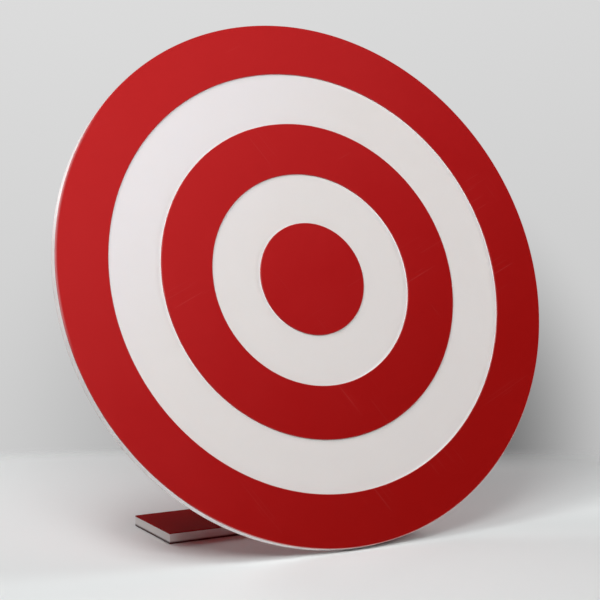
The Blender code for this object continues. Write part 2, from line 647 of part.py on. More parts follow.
def build_target():
    """The whole object, with its origin in the middle of its footprint on the floor."""
    stand = frame_at("stand", (0.0, -MIDDLE_Y, 0.0))
    board_place = (0.0, CENTRE_UP_THE_BACK * math.sin(LEAN), CENTRE_UP_THE_BACK * math.cos(LEAN))
    board = frame_at("board_axis", board_place, stand, (math.pi / 2 - LEAN, 0.0, 0.0))
    leg = frame_at("leg_pivot_axis", (0.0, PIVOT_Y, PIVOT_Z), stand)
    hinge_axis = frame_at("foot_hinge_axis", (0.0, HINGE_Y - PIVOT_Y, HINGE_Z - PIVOT_Z), leg)
    board_core, board_rear = build_board(board)
    build_brackets(board, board_core, board_rear)
    leg_layers = build_leg(board, leg)
    foot_layers = build_foot(hinge_axis)
    build_hinges(hinge_axis, leg_layers, foot_layers)


clear_scene()
PARTS = collection_named(OBJECT_NAME)
CUTTERS = collection_named(f"{OBJECT_NAME}_cutters")
build_target()
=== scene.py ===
"""Driving range target: the fine shapes and the finish of every surface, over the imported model.

A round bullseye board of red, white and red plastic sheet leans back on a folding leg with a cross
foot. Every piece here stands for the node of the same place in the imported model, in the same frame:
metres, +Z up, the face of the board towards -Y.
"""

import json
import logging
import math
from collections.abc import Callable, Iterable, Sequence
from dataclasses import dataclass, field
from enum import Enum
from functools import reduce
from itertools import accumulate

import bmesh
import bpy
from mathutils import Euler, Matrix, Vector


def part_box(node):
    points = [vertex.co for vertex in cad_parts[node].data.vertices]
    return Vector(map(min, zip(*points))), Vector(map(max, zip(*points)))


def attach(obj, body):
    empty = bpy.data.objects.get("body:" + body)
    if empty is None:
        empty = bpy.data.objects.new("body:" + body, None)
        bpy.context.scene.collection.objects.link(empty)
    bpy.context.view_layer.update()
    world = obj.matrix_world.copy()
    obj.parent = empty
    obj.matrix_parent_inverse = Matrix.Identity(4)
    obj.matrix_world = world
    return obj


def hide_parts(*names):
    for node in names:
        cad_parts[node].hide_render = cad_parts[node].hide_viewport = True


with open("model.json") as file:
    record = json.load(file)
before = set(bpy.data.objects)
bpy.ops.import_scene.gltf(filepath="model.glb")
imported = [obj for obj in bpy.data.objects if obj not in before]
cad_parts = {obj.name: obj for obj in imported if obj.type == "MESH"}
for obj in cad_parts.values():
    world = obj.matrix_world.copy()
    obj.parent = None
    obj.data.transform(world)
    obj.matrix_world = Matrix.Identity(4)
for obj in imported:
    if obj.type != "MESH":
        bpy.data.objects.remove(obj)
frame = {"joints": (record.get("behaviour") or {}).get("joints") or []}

LOG = logging.getLogger("driving_range_target")
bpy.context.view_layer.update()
MERGE_DISTANCE = 0.00001
QUARTER_TURN = math.pi / 2
ALONG_X = Matrix.Rotation(QUARTER_TURN, 4, "Y")

Piece = bpy.types.Object
Place = tuple[float, float]
Step = tuple[float, float]
Profile = Sequence[Place]
Triple = tuple[float, float, float]
Colour = Triple


class Side(Enum):
    """The two sides of the leg, each with its turn about the middle plane."""

    LEFT = math.pi
    RIGHT = 0.0

    @property
    def word(self) -> str:
        """The side as it stands in a node's name."""
        return self.name.lower()


class Body(Enum):
    """The three bodies that move against each other."""

    BOARD = "board"
    LEG = "leg"
    FOOT = "foot"


class Slot(Enum):
    """The record's material slots."""

    RED_SKIN = "red_skin"
    WHITE_CORE = "white_core"
    STAINLESS = "stainless"
    NYLON = "nylon"


class Part(Enum):
    """What is chosen of a mesh, each with the name of its list."""

    VERT = "verts"
    EDGE = "edges"
    FACE = "faces"


@dataclass(frozen=True)
class SheetStock:
    """The three-layer sheet that the board, the leg and the foot are cut from."""

    thickness: float = 0.019
    skin: float = 0.002
    bond: float = 0.00002
    route_into_core: float = 0.001
    edge_radius: float = 0.0016
    edge_segments: int = 4

    @property
    def skin_underside(self) -> float:
        """Height of the upper skin's lower face."""
        return self.thickness - self.skin

    @property
    def core_top(self) -> float:
        """Height of the core's upper face."""
        return self.thickness - self.skin - self.bond

    @property
    def core_bottom(self) -> float:
        """Height of the core's lower face."""
        return self.skin + self.bond

    @property
    def route_floor(self) -> float:
        """Height of the routed white rings."""
        return self.thickness - self.skin - self.route_into_core


STOCK = SheetStock()


class Bench:
    """Modelling with Blender's own operators, the way it is done by hand."""

    SMOOTH_BELOW = math.radians(30.0)
    BROKEN_ABOVE = math.radians(40.0)
    BROKEN_SEGMENTS = 2

    @staticmethod
    def deselect() -> None:
        """Leaves edit mode and drops the selection."""
        if bpy.context.object and bpy.context.object.mode != "OBJECT":
            bpy.ops.object.mode_set(mode="OBJECT")
        bpy.ops.object.select_all(action="DESELECT")

    @staticmethod
    def pick(*pieces: Piece) -> None:
        """Selects these pieces alone, the first of them active.

        Args:
            pieces: The pieces to select.
        """
        Bench.deselect()
        for piece in pieces:
            piece.select_set(True)
        bpy.context.view_layer.objects.active = pieces[0]

    @staticmethod
    def discard(*pieces: Piece) -> None:
        """Removes pieces that have served."""
        for piece in pieces:
            bpy.data.objects.remove(piece, do_unlink=True)

    @staticmethod
    def choose(piece: Piece, part: Part, wanted: Callable[..., bool]) -> None:
        """Opens a piece in edit mode with some of its mesh selected.

        Args:
            piece: The piece to shape.
            part: Whether its corners, edges or faces are chosen.
            wanted: Says of one of them, by the places of its corners, whether it is wanted.
        """
        Bench.pick(piece)
        bpy.ops.object.mode_set(mode="EDIT")
        bpy.ops.mesh.select_mode(type=part.name)
        bpy.ops.mesh.select_all(action="DESELECT")
        bm = bmesh.from_edit_mesh(piece.data)
        for element in getattr(bm, part.value):
            corners = [element] if part is Part.VERT else element.verts
            element.select_set(wanted(*(corner.co for corner in corners)))
        bmesh.update_edit_mesh(piece.data)

    @staticmethod
    def round_off(
        piece: Piece, part: Part, wanted: Callable[..., bool], radius: float, segments: int
    ) -> None:
        """Rounds some edges or corners of a piece.

        Args:
            piece: The piece.
            part: Whether corners or edges are rounded.
            wanted: Says of one of them whether it is rounded.
            radius: The radius of the rounding.
            segments: How many faces it has.
        """
        Bench.choose(piece, part, wanted)
        affect = "VERTICES" if part is Part.VERT else "EDGES"
        bpy.ops.mesh.bevel(offset=radius, offset_type="OFFSET", segments=segments, profile=0.5, affect=affect)
        Bench.deselect()

    @staticmethod
    def modify(piece: Piece, kind: str, **settings: object) -> None:
        """Gives a piece a modifier and applies it.

        Args:
            piece: The piece.
            kind: The modifier's type.
            settings: Its settings.
        """
        Bench.pick(piece)
        modifier = piece.modifiers.new(kind.lower(), kind)
        for name, value in settings.items():
            setattr(modifier, name, value)
        bpy.ops.object.modifier_apply(modifier=modifier.name)

    @staticmethod
    def finish(piece: Piece, broken_edge: float = 0.0) -> Piece:
        """Shades a piece smooth between its sharp edges.

        Args:
            piece: The piece.
            broken_edge: The width by which sharp edges are broken first, 0 for none.

        Returns:
            The same piece.
        """
        if broken_edge:
            limit = {"limit_method": "ANGLE", "angle_limit": Bench.BROKEN_ABOVE}
            Bench.modify(piece, "BEVEL", width=broken_edge, segments=Bench.BROKEN_SEGMENTS, **limit)
        Bench.pick(piece)
        bpy.ops.object.shade_smooth_by_angle(angle=Bench.SMOOTH_BELOW)
        Bench.modify(piece, "WEIGHTED_NORMAL", keep_sharp=True)
        return piece

    @staticmethod
    def combine(piece: Piece, tools: Iterable[Piece], operation: str = "DIFFERENCE") -> None:
        """Cuts or joins other solids into a piece, and removes them.

        Args:
            piece: The piece.
            tools: Solids that don't meet each other.
            operation: DIFFERENCE or UNION.
        """
        tools = list(tools)
        Bench.pick(*tools)
        if len(tools) > 1:
            bpy.ops.object.join()
        Bench.modify(piece, "BOOLEAN", operation=operation, solver="EXACT", object=tools[0])
        Bench.discard(tools[0])

    @staticmethod
    def seat(piece: Piece, place: Matrix) -> Piece:
        """Moves a piece to its seat and puts that place in its mesh.

        Args:
            piece: The piece, modelled about its own axis.
            place: The seat in the object's frame.

        Returns:
            The same piece, its object at the origin.
        """
        piece.matrix_world = place @ piece.matrix_world
        Bench.pick(piece)
        bpy.ops.object.transform_apply(location=True, rotation=True, scale=True)
        return piece

    @staticmethod
    def copy(piece: Piece, name: str, place: Matrix) -> Piece:
        """A copy of a piece with its own mesh, moved to its seat.

        Args:
            piece: The piece to copy.
            name: The copy's name.
            place: The copy's seat.

        Returns:
            The copy.
        """
        double = piece.copy()
        double.data = piece.data.copy()
        double.name = name
        bpy.context.scene.collection.objects.link(double)
        return Bench.seat(double, place)

    @staticmethod
    def turned(name: str, profile: Profile, segments: int, closed: bool = False) -> Piece:
        """A piece turned about Z: a circle drawn from point to point of its profile.

        Args:
            name: The piece's name.
            profile: (radius, height) points.
            segments: How many sides stand for the circle.
            closed: Whether the profile comes back to its start, as on a ring.

        Returns:
            The piece, with its ends filled where it isn't closed.
        """
        (radius, height), *others = profile
        Bench.deselect()
        bpy.ops.mesh.primitive_circle_add(vertices=segments, radius=radius, fill_type="NOTHING")
        piece = bpy.context.object
        piece.name = name
        bpy.ops.object.mode_set(mode="EDIT")
        bpy.ops.mesh.select_mode(type="EDGE")
        bpy.ops.mesh.select_all(action="SELECT")
        bpy.ops.transform.translate(value=(0.0, 0.0, height))
        for next_radius, next_height in [*others, *([profile[0]] if closed else [])]:
            step = (0.0, 0.0, next_height - height)
            bpy.ops.mesh.extrude_edges_move(TRANSFORM_OT_translate={"value": step})
            share = next_radius / radius
            bpy.ops.transform.resize(value=(share, share, 1.0), center_override=(0.0, 0.0, next_height))
            radius, height = next_radius, next_height
        bpy.ops.mesh.select_all(action="SELECT")
        bpy.ops.mesh.remove_doubles(threshold=MERGE_DISTANCE)
        if not closed:
            bpy.ops.mesh.fill_holes(sides=0)
        bpy.ops.mesh.select_all(action="SELECT")
        bpy.ops.mesh.normals_make_consistent(inside=False)
        Bench.deselect()
        return piece

    @staticmethod
    def drills(name: str, profile: Profile, segments: int, *seats: Matrix) -> list[Piece]:
        """Drills of one profile, one on each seat.

        Args:
            name: The drills' name.
            profile: Their (radius, height) points.
            segments: How many sides stand for the circle.
            seats: Their seats.

        Returns:
            The drills.
        """
        drill = Bench.turned(name, profile, segments)
        made = [Bench.copy(drill, name, seat) for seat in seats]
        Bench.discard(drill)
        return made

    @staticmethod
    def block(name: str, low: Sequence[float], high: Sequence[float]) -> Piece:
        """A square block between two corners, a start for further shaping.

        Args:
            name: The block's name.
            low: Its lowest corner.
            high: Its highest corner.

        Returns:
            The block, with its size and place in its mesh.
        """
        low, high = Vector(low), Vector(high)
        Bench.deselect()
        bpy.ops.mesh.primitive_cube_add(size=1.0, location=(low + high) / 2, scale=high - low)
        block = bpy.context.object
        block.name = name
        bpy.ops.object.transform_apply(location=True, rotation=True, scale=True)
        return block


def straight(radius: float, low: float, high: float) -> list[Place]:
    """The profile of a plain round bar or hole."""
    return [(radius, low), (radius, high)]


def operator(operation: str, swapped: bool = False) -> Callable[["Socket", "Socket | float"], "Socket"]:
    """An operator of sockets.

    Args:
        operation: The Math node's operation.
        swapped: Whether the other value comes first.

    Returns:
        The operator.
    """

    def apply(first: "Socket", second: "Socket | float") -> "Socket":
        """The Math node's result."""
        return first.math(operation, *((second, first) if swapped else (first, second)))

    return apply


class Socket:
    """A shader socket that takes part in Python expressions."""

    __add__ = operator("ADD")
    __radd__ = operator("ADD", swapped=True)
    __sub__ = operator("SUBTRACT")
    __rsub__ = operator("SUBTRACT", swapped=True)
    __mul__ = operator("MULTIPLY")
    __truediv__ = operator("DIVIDE")
    __pow__ = operator("POWER")

    def __init__(self, shader: "Shader", link: bpy.types.NodeSocket) -> None:
        """Wraps an output socket of a shader's tree."""
        self.shader = shader
        self.link = link

    def math(self, operation: str, *values: "Socket | float") -> "Socket":
        """A Math node on these values."""
        return self.shader.node("ShaderNodeMath", {"operation": operation}, dict(enumerate(values)))

    def sine(self) -> "Socket":
        """The sine."""
        return self.math("SINE", self)

    def size(self) -> "Socket":
        """The number without its sign."""
        return self.math("ABSOLUTE", self)

    def largest(self, *others: "Socket") -> "Socket":
        """The largest of some numbers."""
        return reduce(lambda most, other: self.math("MAXIMUM", most, other), others, self)

    def length(self, other: "Socket") -> "Socket":
        """The length of a vector of two numbers."""
        return (self * self + other * other) ** 0.5

    def between(self, low: "Socket | float", high: "Socket | float") -> "Socket":
        """A number that goes from low to high as this one goes from 0 to 1."""
        return low + self * (high - low)

    def about(self, middle: float, change: float) -> "Socket":
        """A number about a middle one, where this is a noise about 0.5."""
        return (self - 0.5) * change + middle

    def above(self, edge: float, softness: float) -> "Socket":
        """A soft step from 0 to 1.

        Args:
            edge: Where the step starts.
            softness: How far it takes.

        Returns:
            The step.
        """
        limits = {"Value": self, "From Min": edge, "From Max": edge + softness}
        return self.shader.node("ShaderNodeMapRange", {"interpolation_type": "SMOOTHSTEP"}, limits)


@dataclass(frozen=True)
class Pattern:
    """A soft noise: cells per metre, finer layers, their strength, and how far it is drawn out."""

    scale: float
    detail: float = 2.0
    rough: float = 0.5
    stretch: Triple = (1.0, 1.0, 1.0)


class Shader:
    """The node tree of a material or of the world, written as expressions."""

    def __init__(self, owner: bpy.types.Material | bpy.types.World, surface: str) -> None:
        """Opens a new owner's nodes.

        Args:
            owner: The material or the world.
            surface: The name of the node that its output starts with.
        """
        owner.use_nodes = True
        self.owner = owner
        self.tree = owner.node_tree
        self.surface = self.tree.nodes[surface]

    @classmethod
    def material(cls, name: str) -> "Shader":
        """The nodes of a new material, with a bare Principled shader."""
        return cls(bpy.data.materials.new(name), "Principled BSDF")

    def node(self, kind: str, settings: dict, sockets: dict, output: int | str = 0) -> Socket:
        """Adds a node.

        Args:
            kind: The node's type.
            settings: Its own settings, set before its sockets.
            sockets: Values or links of its inputs, by name or number.
            output: The output that is returned.

        Returns:
            The chosen output.
        """
        node = self.tree.nodes.new(kind)
        for name, value in settings.items():
            setattr(node, name, value)
        self.feed(node, sockets)
        return Socket(self, node.outputs[output])

    def feed(self, node: bpy.types.Node, sockets: dict) -> None:
        """Links or sets inputs of a node.

        Args:
            node: The node.
            sockets: Values or links of its inputs, by name or number.
        """
        for name, value in sockets.items():
            if isinstance(value, Socket):
                self.tree.links.new(value.link, node.inputs[name])
            else:
                node.inputs[name].default_value = value

    def place(self, seat: Matrix, stretch: Sequence[float] = (1.0, 1.0, 1.0)) -> Socket:
        """Coordinates along a seat's own axes, in metres.

        Args:
            seat: The seat, whose origin is the pattern's origin.
            stretch: How many times wider the pattern is drawn along each axis.

        Returns:
            The coordinates.
        """
        whole = self.node("ShaderNodeTexCoord", {}, {}, "Object")
        spots = {"Vector": whole, "Location": seat.translation, "Rotation": seat.to_euler(), "Scale": stretch}
        return self.node("ShaderNodeMapping", {"vector_type": "TEXTURE"}, spots)

    def parts(self, vector: Socket) -> tuple[Socket, Socket, Socket]:
        """The three numbers of a vector."""
        split = self.node("ShaderNodeSeparateXYZ", {}, {"Vector": vector}).link.node
        return tuple(Socket(self, output) for output in split.outputs)

    def noise(self, seat: Matrix, pattern: Pattern) -> Socket:
        """Soft noise about 0.5, drawn along a seat's own axes."""
        values = {"Vector": self.place(seat, pattern.stretch), "Scale": pattern.scale}
        values |= {"Detail": pattern.detail, "Roughness": pattern.rough}
        return self.node("ShaderNodeTexNoise", {"noise_dimensions": "3D"}, values)

    def blend(self, mask: Socket, first: Socket | Colour, second: Socket | Colour) -> Socket:
        """Mixes two colours.

        Args:
            mask: 0 for the first, 1 for the second.
            first: A colour or its socket.
            second: A colour or its socket.

        Returns:
            The colour.
        """
        first, second = (end if isinstance(end, Socket) else (*end, 1.0) for end in (first, second))
        return self.node("ShaderNodeMix", {"data_type": "RGBA"}, {"Factor": mask, 6: first, 7: second}, 2)

    def steepness(self) -> Socket:
        """How squarely a surface is seen: 1 straight on, 0 along it."""
        return 1.0 - self.node("ShaderNodeLayerWeight", {}, {"Blend": 0.5}, "Facing")

    def bump(self, height: Socket, depth: float) -> Socket:
        """A normal bumped by a height from 0 to 1, where 1 stands for this depth in metres."""
        return self.node("ShaderNodeBump", {}, {"Strength": 1.0, "Distance": depth, "Height": height})


@dataclass(frozen=True)
class Finish:
    """What every finish has: its name, its record slot, and how it dresses pieces."""

    name: str
    slot: Slot

    def paint(self, shader: Shader, seat: Matrix) -> None:
        """Draws the finish in a shader, along the axes of a seat."""
        raise NotImplementedError

    def dress(self, pieces: Sequence[Piece], seat: Matrix) -> None:
        """Gives pieces on one seat this finish.

        Args:
            pieces: The pieces.
            seat: The seat whose axes the pattern follows.
        """
        shader = Shader.material(f"{self.name}_{pieces[0].name}")
        self.paint(shader, seat)
        for piece in pieces:
            piece.data.materials.clear()
            piece.data.materials.append(shader.owner)


@dataclass(frozen=True)
class RimLightBand:
    """A band of another colour along a part of the board's rim: a painted highlight, and where it lies low
    also a scraped edge.
    """

    colour: Colour
    towards: float
    arc: Step
    inset: float
    softness: float


@dataclass(frozen=True)
class RedSkin(Finish):
    """Solid red polyethylene skin, paler in patches and lightly scuffed, with a fine moulded grain.

    A skin with a rim is the board's front: light and shade are painted across it, paler towards the upper
    left and darker towards the lower right, and highlight bands are painted along that rim, the lower one
    also a scraped edge.
    """

    name: str = "red_skin"
    slot: Slot = Slot.RED_SKIN
    rim: float = 0.0
    colour: Colour = (0.364, 0.0065, 0.0075)
    # paler red: the mottle's patches, and the painted light on the front's upper left
    faded_and_lit: Colour = (0.446, 0.0150, 0.0160)
    # painted shade: the red that the front's lower right darkens towards
    deep: Colour = (0.308, 0.0035, 0.0030)
    scuffed: Colour = (0.75, 0.35, 0.34)
    # painted shade near the floor: the colour that a skin darkens towards low down
    contact_shade_colour: Colour = (0.030, 0.007, 0.006)
    cut: Colour = (0.440, 0.050, 0.050)
    cut_pale: float = 0.6
    cut_gloss: float = 0.9
    cut_depth: Step = (0.0001, 0.0008)
    # strength, height and patchiness of that painted shade near the floor
    contact_shade: float = 0.0
    contact_shade_reach: float = 0.0005
    contact_shade_change: float = 0.25
    rough: Place = (0.34, 0.14)
    sheen: float = 0.22
    gloss: float = 0.0
    gloss_ahead: float = 0.04
    coat_roughness: float = 0.25
    # painted light and shade across the front: the direction of its lit upper left, and the reach of the
    # change
    lit_direction: Place = (-0.62, 0.78)
    lit_reach: float = 0.42
    mottle: Pattern = Pattern(9.0, 4.0, 0.6)
    mottle_share: float = 0.5
    grain: Pattern = Pattern(900.0, 3.0, 0.55)
    grain_depth: float = 0.00004
    waves: Pattern = Pattern(38.0)
    wave_share: float = 1.6
    scratches: tuple[Step, Step] = ((24.0, 0.02), (-57.0, 0.03))
    scratch: Pattern = Pattern(420.0, 1.0, 0.4, (60.0, 1.0, 1.0))
    scratch_edge: float = 0.70
    scratch_strength: float = 0.05
    scratch_share: float = 0.5
    scratch_rough: float = 0.12
    patch: Pattern = Pattern(7.0, 1.0, stretch=(2.0, 1.0, 1.0))
    patch_step: Step = (0.56, 0.1)
    # painted highlight bands along the rim: on the left for the gloss of the rounded edge, and at the bottom
    # for light bounced up from the floor, which is also a scraped edge
    marks: tuple[RimLightBand, ...] = (
        RimLightBand((0.520, 0.165, 0.170), math.radians(166.0), (0.88, 0.08), 0.0045, 0.0045),
        RimLightBand((0.820, 0.520, 0.500), math.radians(285.0), (0.55, 0.25), 0.0014, 0.0010),
    )

    def paint(self, shader: Shader, seat: Matrix) -> None:
        """Draws the skin: mottle, painted light and shade on the front, scuffs and grain, paler sides where
        it is cut, and painted shade near the floor.

        Args:
            shader: The shader to draw in.
            seat: The seat whose axes the pattern follows.
        """
        _, _, z = shader.parts(shader.place(seat))
        mottle = shader.noise(seat, self.mottle)
        colour = shader.blend(mottle * self.mottle_share, self.colour, self.faded_and_lit)
        # the front gets painted light and shade across it and painted highlight bands along its rim
        if self.rim:
            colour = self._painted_light_and_wear(shader, seat, colour)
        scuffs = self._scuffs(shader, seat)
        colour = shader.blend(scuffs * self.scratch_strength, colour, self.scuffed)
        middle = STOCK.thickness / 2
        cut = (middle - (z - middle).size()).above(*self.cut_depth)
        colour = shader.blend(cut * self.cut_pale, colour, self.cut)
        # painted shade along the floor, where the foot's lowest skin meets it
        near_floor_shade = 1.0 - z.above(STOCK.skin, self.contact_shade_reach)
        patchy = mottle * self.contact_shade_change + (1.0 - self.contact_shade_change)
        colour = shader.blend(near_floor_shade * patchy * self.contact_shade, colour, self.contact_shade_colour)
        relief = shader.noise(seat, self.grain) + shader.noise(seat, self.waves) * self.wave_share
        polish = (shader.steepness() ** 2.0 + self.gloss_ahead) * (1.0 - cut) * self.gloss
        surface = {
            "Base Color": colour,
            "Roughness": mottle.about(*self.rough) + scuffs * self.scratch_rough,
            "Normal": shader.bump(relief - scuffs * self.scratch_share, self.grain_depth),
            "Coat Weight": polish + cut * self.cut_gloss,
            "Coat Roughness": self.coat_roughness,
            "Specular IOR Level": self.sheen,
        }
        shader.feed(shader.surface, surface)

    def _painted_light_and_wear(self, shader: Shader, seat: Matrix, colour: Socket) -> Socket:
        """Paints light and shade across a front, and highlight bands along its rim, the lower one also a
        scraped edge.

        Args:
            shader: The shader.
            seat: The skin's seat.
            colour: The colour so far.

        Returns:
            The colour.
        """
        x, y, _ = shader.parts(shader.place(seat))
        right, up = self.lit_direction
        # painted light and shade: 1 on the lit upper left, 0 on the shaded lower right
        fade = ((x * right + y * up) / self.lit_reach).above(-1.0, 2.0)
        colour = shader.blend((fade - 0.5) * 2.0, colour, self.faded_and_lit)
        colour = shader.blend((0.5 - fade) * 2.0, colour, self.deep)
        radius = x.length(y)
        # painted highlight bands along the rim
        for mark in self.marks:
            near = radius.above(self.rim - mark.inset, mark.softness)
            towards = (x * math.cos(mark.towards) + y * math.sin(mark.towards)) / radius
            colour = shader.blend(near * towards.above(*mark.arc), colour, mark.colour)
        return colour

    def _scuffs(self, shader: Shader, seat: Matrix) -> Socket:
        """Long thin scratches in two directions.

        Args:
            shader: The shader.
            seat: The skin's seat.

        Returns:
            How scratched a spot is.
        """
        found = []
        for degrees, width in self.scratches:
            turned = seat @ Matrix.Rotation(math.radians(degrees), 4, "Z")
            lines = shader.noise(turned, self.scratch).above(self.scratch_edge, width)
            found.append(lines * shader.noise(turned, self.patch).above(*self.patch_step))
        return found[0] + found[1]


@dataclass(frozen=True)
class WhiteCore(Finish):
    """White polyethylene core where the saw has cut it.

    A core with walls is the board's: rings are routed between these radii, and its rim is sawn.
    """

    name: str = "white_core"
    slot: Slot = Slot.WHITE_CORE
    radius: float = 0.0
    walls: tuple[float, ...] = ()
    colour: Colour = (0.760, 0.720, 0.705)
    shade: Colour = (0.708, 0.665, 0.650)
    cloud: Pattern = Pattern(11.0, 4.0, 0.6)
    cloud_share: float = 0.35
    # painted light: the lit upper left of the board's core takes this cooler tint
    lit_side_tint: Colour = (0.760, 0.720, 0.735)
    lit_side_across: Step = (0.10, 0.35)
    # painted light and shade on the sawn rim: brighter low down, where the floor lights it, darker high up
    rim_lit_low: Colour = (0.905, 0.852, 0.842)
    rim_shaded_high: Colour = (0.665, 0.592, 0.582)
    rim_shade_up: Step = (-0.2, 0.75)
    rim_inset: float = 0.0012
    rim_softness: float = 0.0008
    # painted light beside the walls of the routed rings, against the shade that the walls throw
    corner_light_colour: Colour = (0.930, 0.900, 0.890)
    corner_reach: float = 0.006
    corner_arc: Step = (-0.1, 0.6)
    inner_share: float = 0.6
    # painted shade near the floor: its colour, strength and height on the foot's core
    contact_shade_colour: Colour = (0.060, 0.016, 0.016)
    contact_shade: float = 0.0
    contact_shade_reach: float = 0.0035
    grain: Pattern = Pattern(1100.0)
    wobble: Pattern = Pattern(14.0, 1.0)
    wobble_reach: float = 0.0022
    mark_pitch: float = 0.0021
    mark_share: float = 0.45
    saw: Pattern = Pattern(520.0, 2.0, 0.6, (1.0, 1.0, 30.0))
    saw_share: float = 0.7
    mark_depth: float = 0.00003
    rough: Place = (0.38, 0.12)
    sheen: float = 0.25
    scatter: float = 0.12
    scatter_reach: Triple = (0.004, 0.003, 0.0026)

    def paint(self, shader: Shader, seat: Matrix) -> None:
        """Draws the core: cloudiness, tool marks and a fine grain, with painted light and shade about the
        board's rings and rim, and painted shade near the floor on the others.

        Args:
            shader: The shader to draw in.
            seat: The seat whose axes the pattern follows.
        """
        x, y, z = shader.parts(shader.place(seat))
        cloud = shader.noise(seat, self.cloud)
        colour = shader.blend(cloud * self.cloud_share, self.colour, self.shade)
        if self.walls:
            radius = x.length(y)
            wavy = radius + shader.noise(seat, self.wobble) * self.wobble_reach
            marks, share = (wavy * (2 * math.pi / self.mark_pitch)).sine() * 0.5 + 0.5, self.mark_share
            # painted light: a cooler tint on the lit upper left
            lit_side_tint = (y - x).above(*self.lit_side_across) * (1.0 - cloud * self.cloud_share)
            colour = shader.blend(lit_side_tint, colour, self.lit_side_tint)
            # painted light beside the walls: outer walls on the right, inner walls on the left
            colour = shader.blend(self._corner_light(radius, x / radius), colour, self.corner_light_colour)
            # painted light and shade on the sawn rim: brighter at the bottom, darker at the top
            rim_shade = (y / self.radius).above(*self.rim_shade_up)
            rim = radius.above(self.radius - self.rim_inset, self.rim_softness)
            colour = shader.blend(rim, colour, shader.blend(rim_shade, self.rim_lit_low, self.rim_shaded_high))
        else:
            marks, share = shader.noise(seat, self.saw), self.saw_share
            # painted shade low on the sawn core, along the floor
            near_floor_shade = 1.0 - z.above(STOCK.skin, self.contact_shade_reach)
            colour = shader.blend(near_floor_shade * self.contact_shade, colour, self.contact_shade_colour)
        relief = marks * share + shader.noise(seat, self.grain) * (1.0 - share)
        surface = {
            "Base Color": colour,
            "Roughness": cloud.about(*self.rough),
            "Normal": shader.bump(relief, self.mark_depth),
            "Specular IOR Level": self.sheen,
            "Subsurface Weight": self.scatter,
            "Subsurface Radius": self.scatter_reach,
            "Subsurface Scale": 1.0,
        }
        shader.feed(shader.surface, surface)

    def _corner_light(self, radius: Socket, outwards: Socket) -> Socket:
        """How much painted light a spot beside the round walls gets, against the shade that the walls throw
        on the routed floor.

        Args:
            radius: The spot's distance from the middle.
            outwards: 1 at the right, -1 at the left.

        Returns:
            The mask: beside the outer walls at the right, and beside the inner ones at the left.
        """
        reach = self.corner_reach
        near = [(reach - (radius - wall).size()).above(0.0, reach) for wall in self.walls]
        right = (near[1] + near[3]) * outwards.above(*self.corner_arc)
        return right + (near[0] + near[2]) * (0.0 - outwards).above(*self.corner_arc) * self.inner_share


@dataclass(frozen=True)
class Stainless(Finish):
    """Bare stainless steel, drawn and lightly stained."""

    name: str = "stainless"
    slot: Slot = Slot.STAINLESS
    colour: Colour = (0.60, 0.595, 0.585)
    stained: Colour = (0.42, 0.40, 0.375)
    stains: Pattern = Pattern(70.0, 3.0)
    stain_step: Step = (0.45, 0.35)
    stain_strength: float = 0.4
    stain_rough: float = 0.10
    lines: Pattern = Pattern(3200.0, 2.0, 0.6, (1.0, 40.0, 1.0))
    line_depth: float = 0.0000015
    rough: Place = (0.26, 0.08)

    def paint(self, shader: Shader, seat: Matrix) -> None:
        """Draws the steel: fine drawn lines and a few dull stains.

        Args:
            shader: The shader to draw in.
            seat: The seat whose axes the lines follow.
        """
        lines = shader.noise(seat, self.lines)
        stains = shader.noise(seat, self.stains).above(*self.stain_step)
        surface = {
            "Base Color": shader.blend(stains * self.stain_strength, self.colour, self.stained),
            "Roughness": lines.about(*self.rough) + stains * self.stain_rough,
            "Normal": shader.bump(lines, self.line_depth),
            "Metallic": 1.0,
        }
        shader.feed(shader.surface, surface)


@dataclass(frozen=True)
class Nylon(Finish):
    """Natural nylon, milky and a little uneven."""

    name: str = "nylon"
    slot: Slot = Slot.NYLON
    colour: Colour = (0.72, 0.70, 0.63)
    shade: Colour = (0.62, 0.60, 0.53)
    cloud: Pattern = Pattern(160.0, 3.0, 0.6)
    marks: Pattern = Pattern(1500.0)
    mark_depth: float = 0.00002
    rough: Place = (0.45, 0.2)

    def paint(self, shader: Shader, seat: Matrix) -> None:
        """Draws the nylon: a cloudy body and turning marks.

        Args:
            shader: The shader to draw in.
            seat: The washer's seat.
        """
        cloud = shader.noise(seat, self.cloud)
        surface = {
            "Base Color": shader.blend(cloud, self.colour, self.shade),
            "Roughness": cloud.about(*self.rough),
            "Normal": shader.bump(shader.noise(seat, self.marks), self.mark_depth),
        }
        shader.feed(shader.surface, surface)


def install(piece: Piece, body: Body, node: str) -> None:
    """Puts a finished piece on its body in place of its node.

    Args:
        piece: The finished piece.
        body: The body that it rides on.
        node: The node that it stands for.
    """
    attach(piece, body.value)
    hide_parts(node)
    LOG.info("%s on %s: %d faces", piece.name, body.value, len(piece.data.polygons))


def fit(original: Piece, name: str, place: Matrix, body: Body, node: str, finish: Finish) -> None:
    """Puts a dressed copy of a piece on its seat, in place of its node.

    Args:
        original: The piece to copy.
        name: The copy's name.
        place: The copy's seat.
        body: The body that it rides on.
        node: The node that it stands for.
        finish: Its finish.
    """
    piece = Bench.copy(original, name, place)
    install(piece, body, node)
    finish.dress([piece], place)


def at_height(level: float) -> Callable[..., bool]:
    """Says whether an edge or a face lies at this height all over."""
    return lambda *corners: max(abs(corner.z - level) for corner in corners) < MERGE_DISTANCE


def rim_at_height(level: float) -> Callable[[Vector, Vector], bool]:
    """Says whether an edge is part of a circle about Z at this height."""
    flat = at_height(level)
    return lambda start, end: flat(start, end) and abs(start.xy.length - end.xy.length) < MERGE_DISTANCE


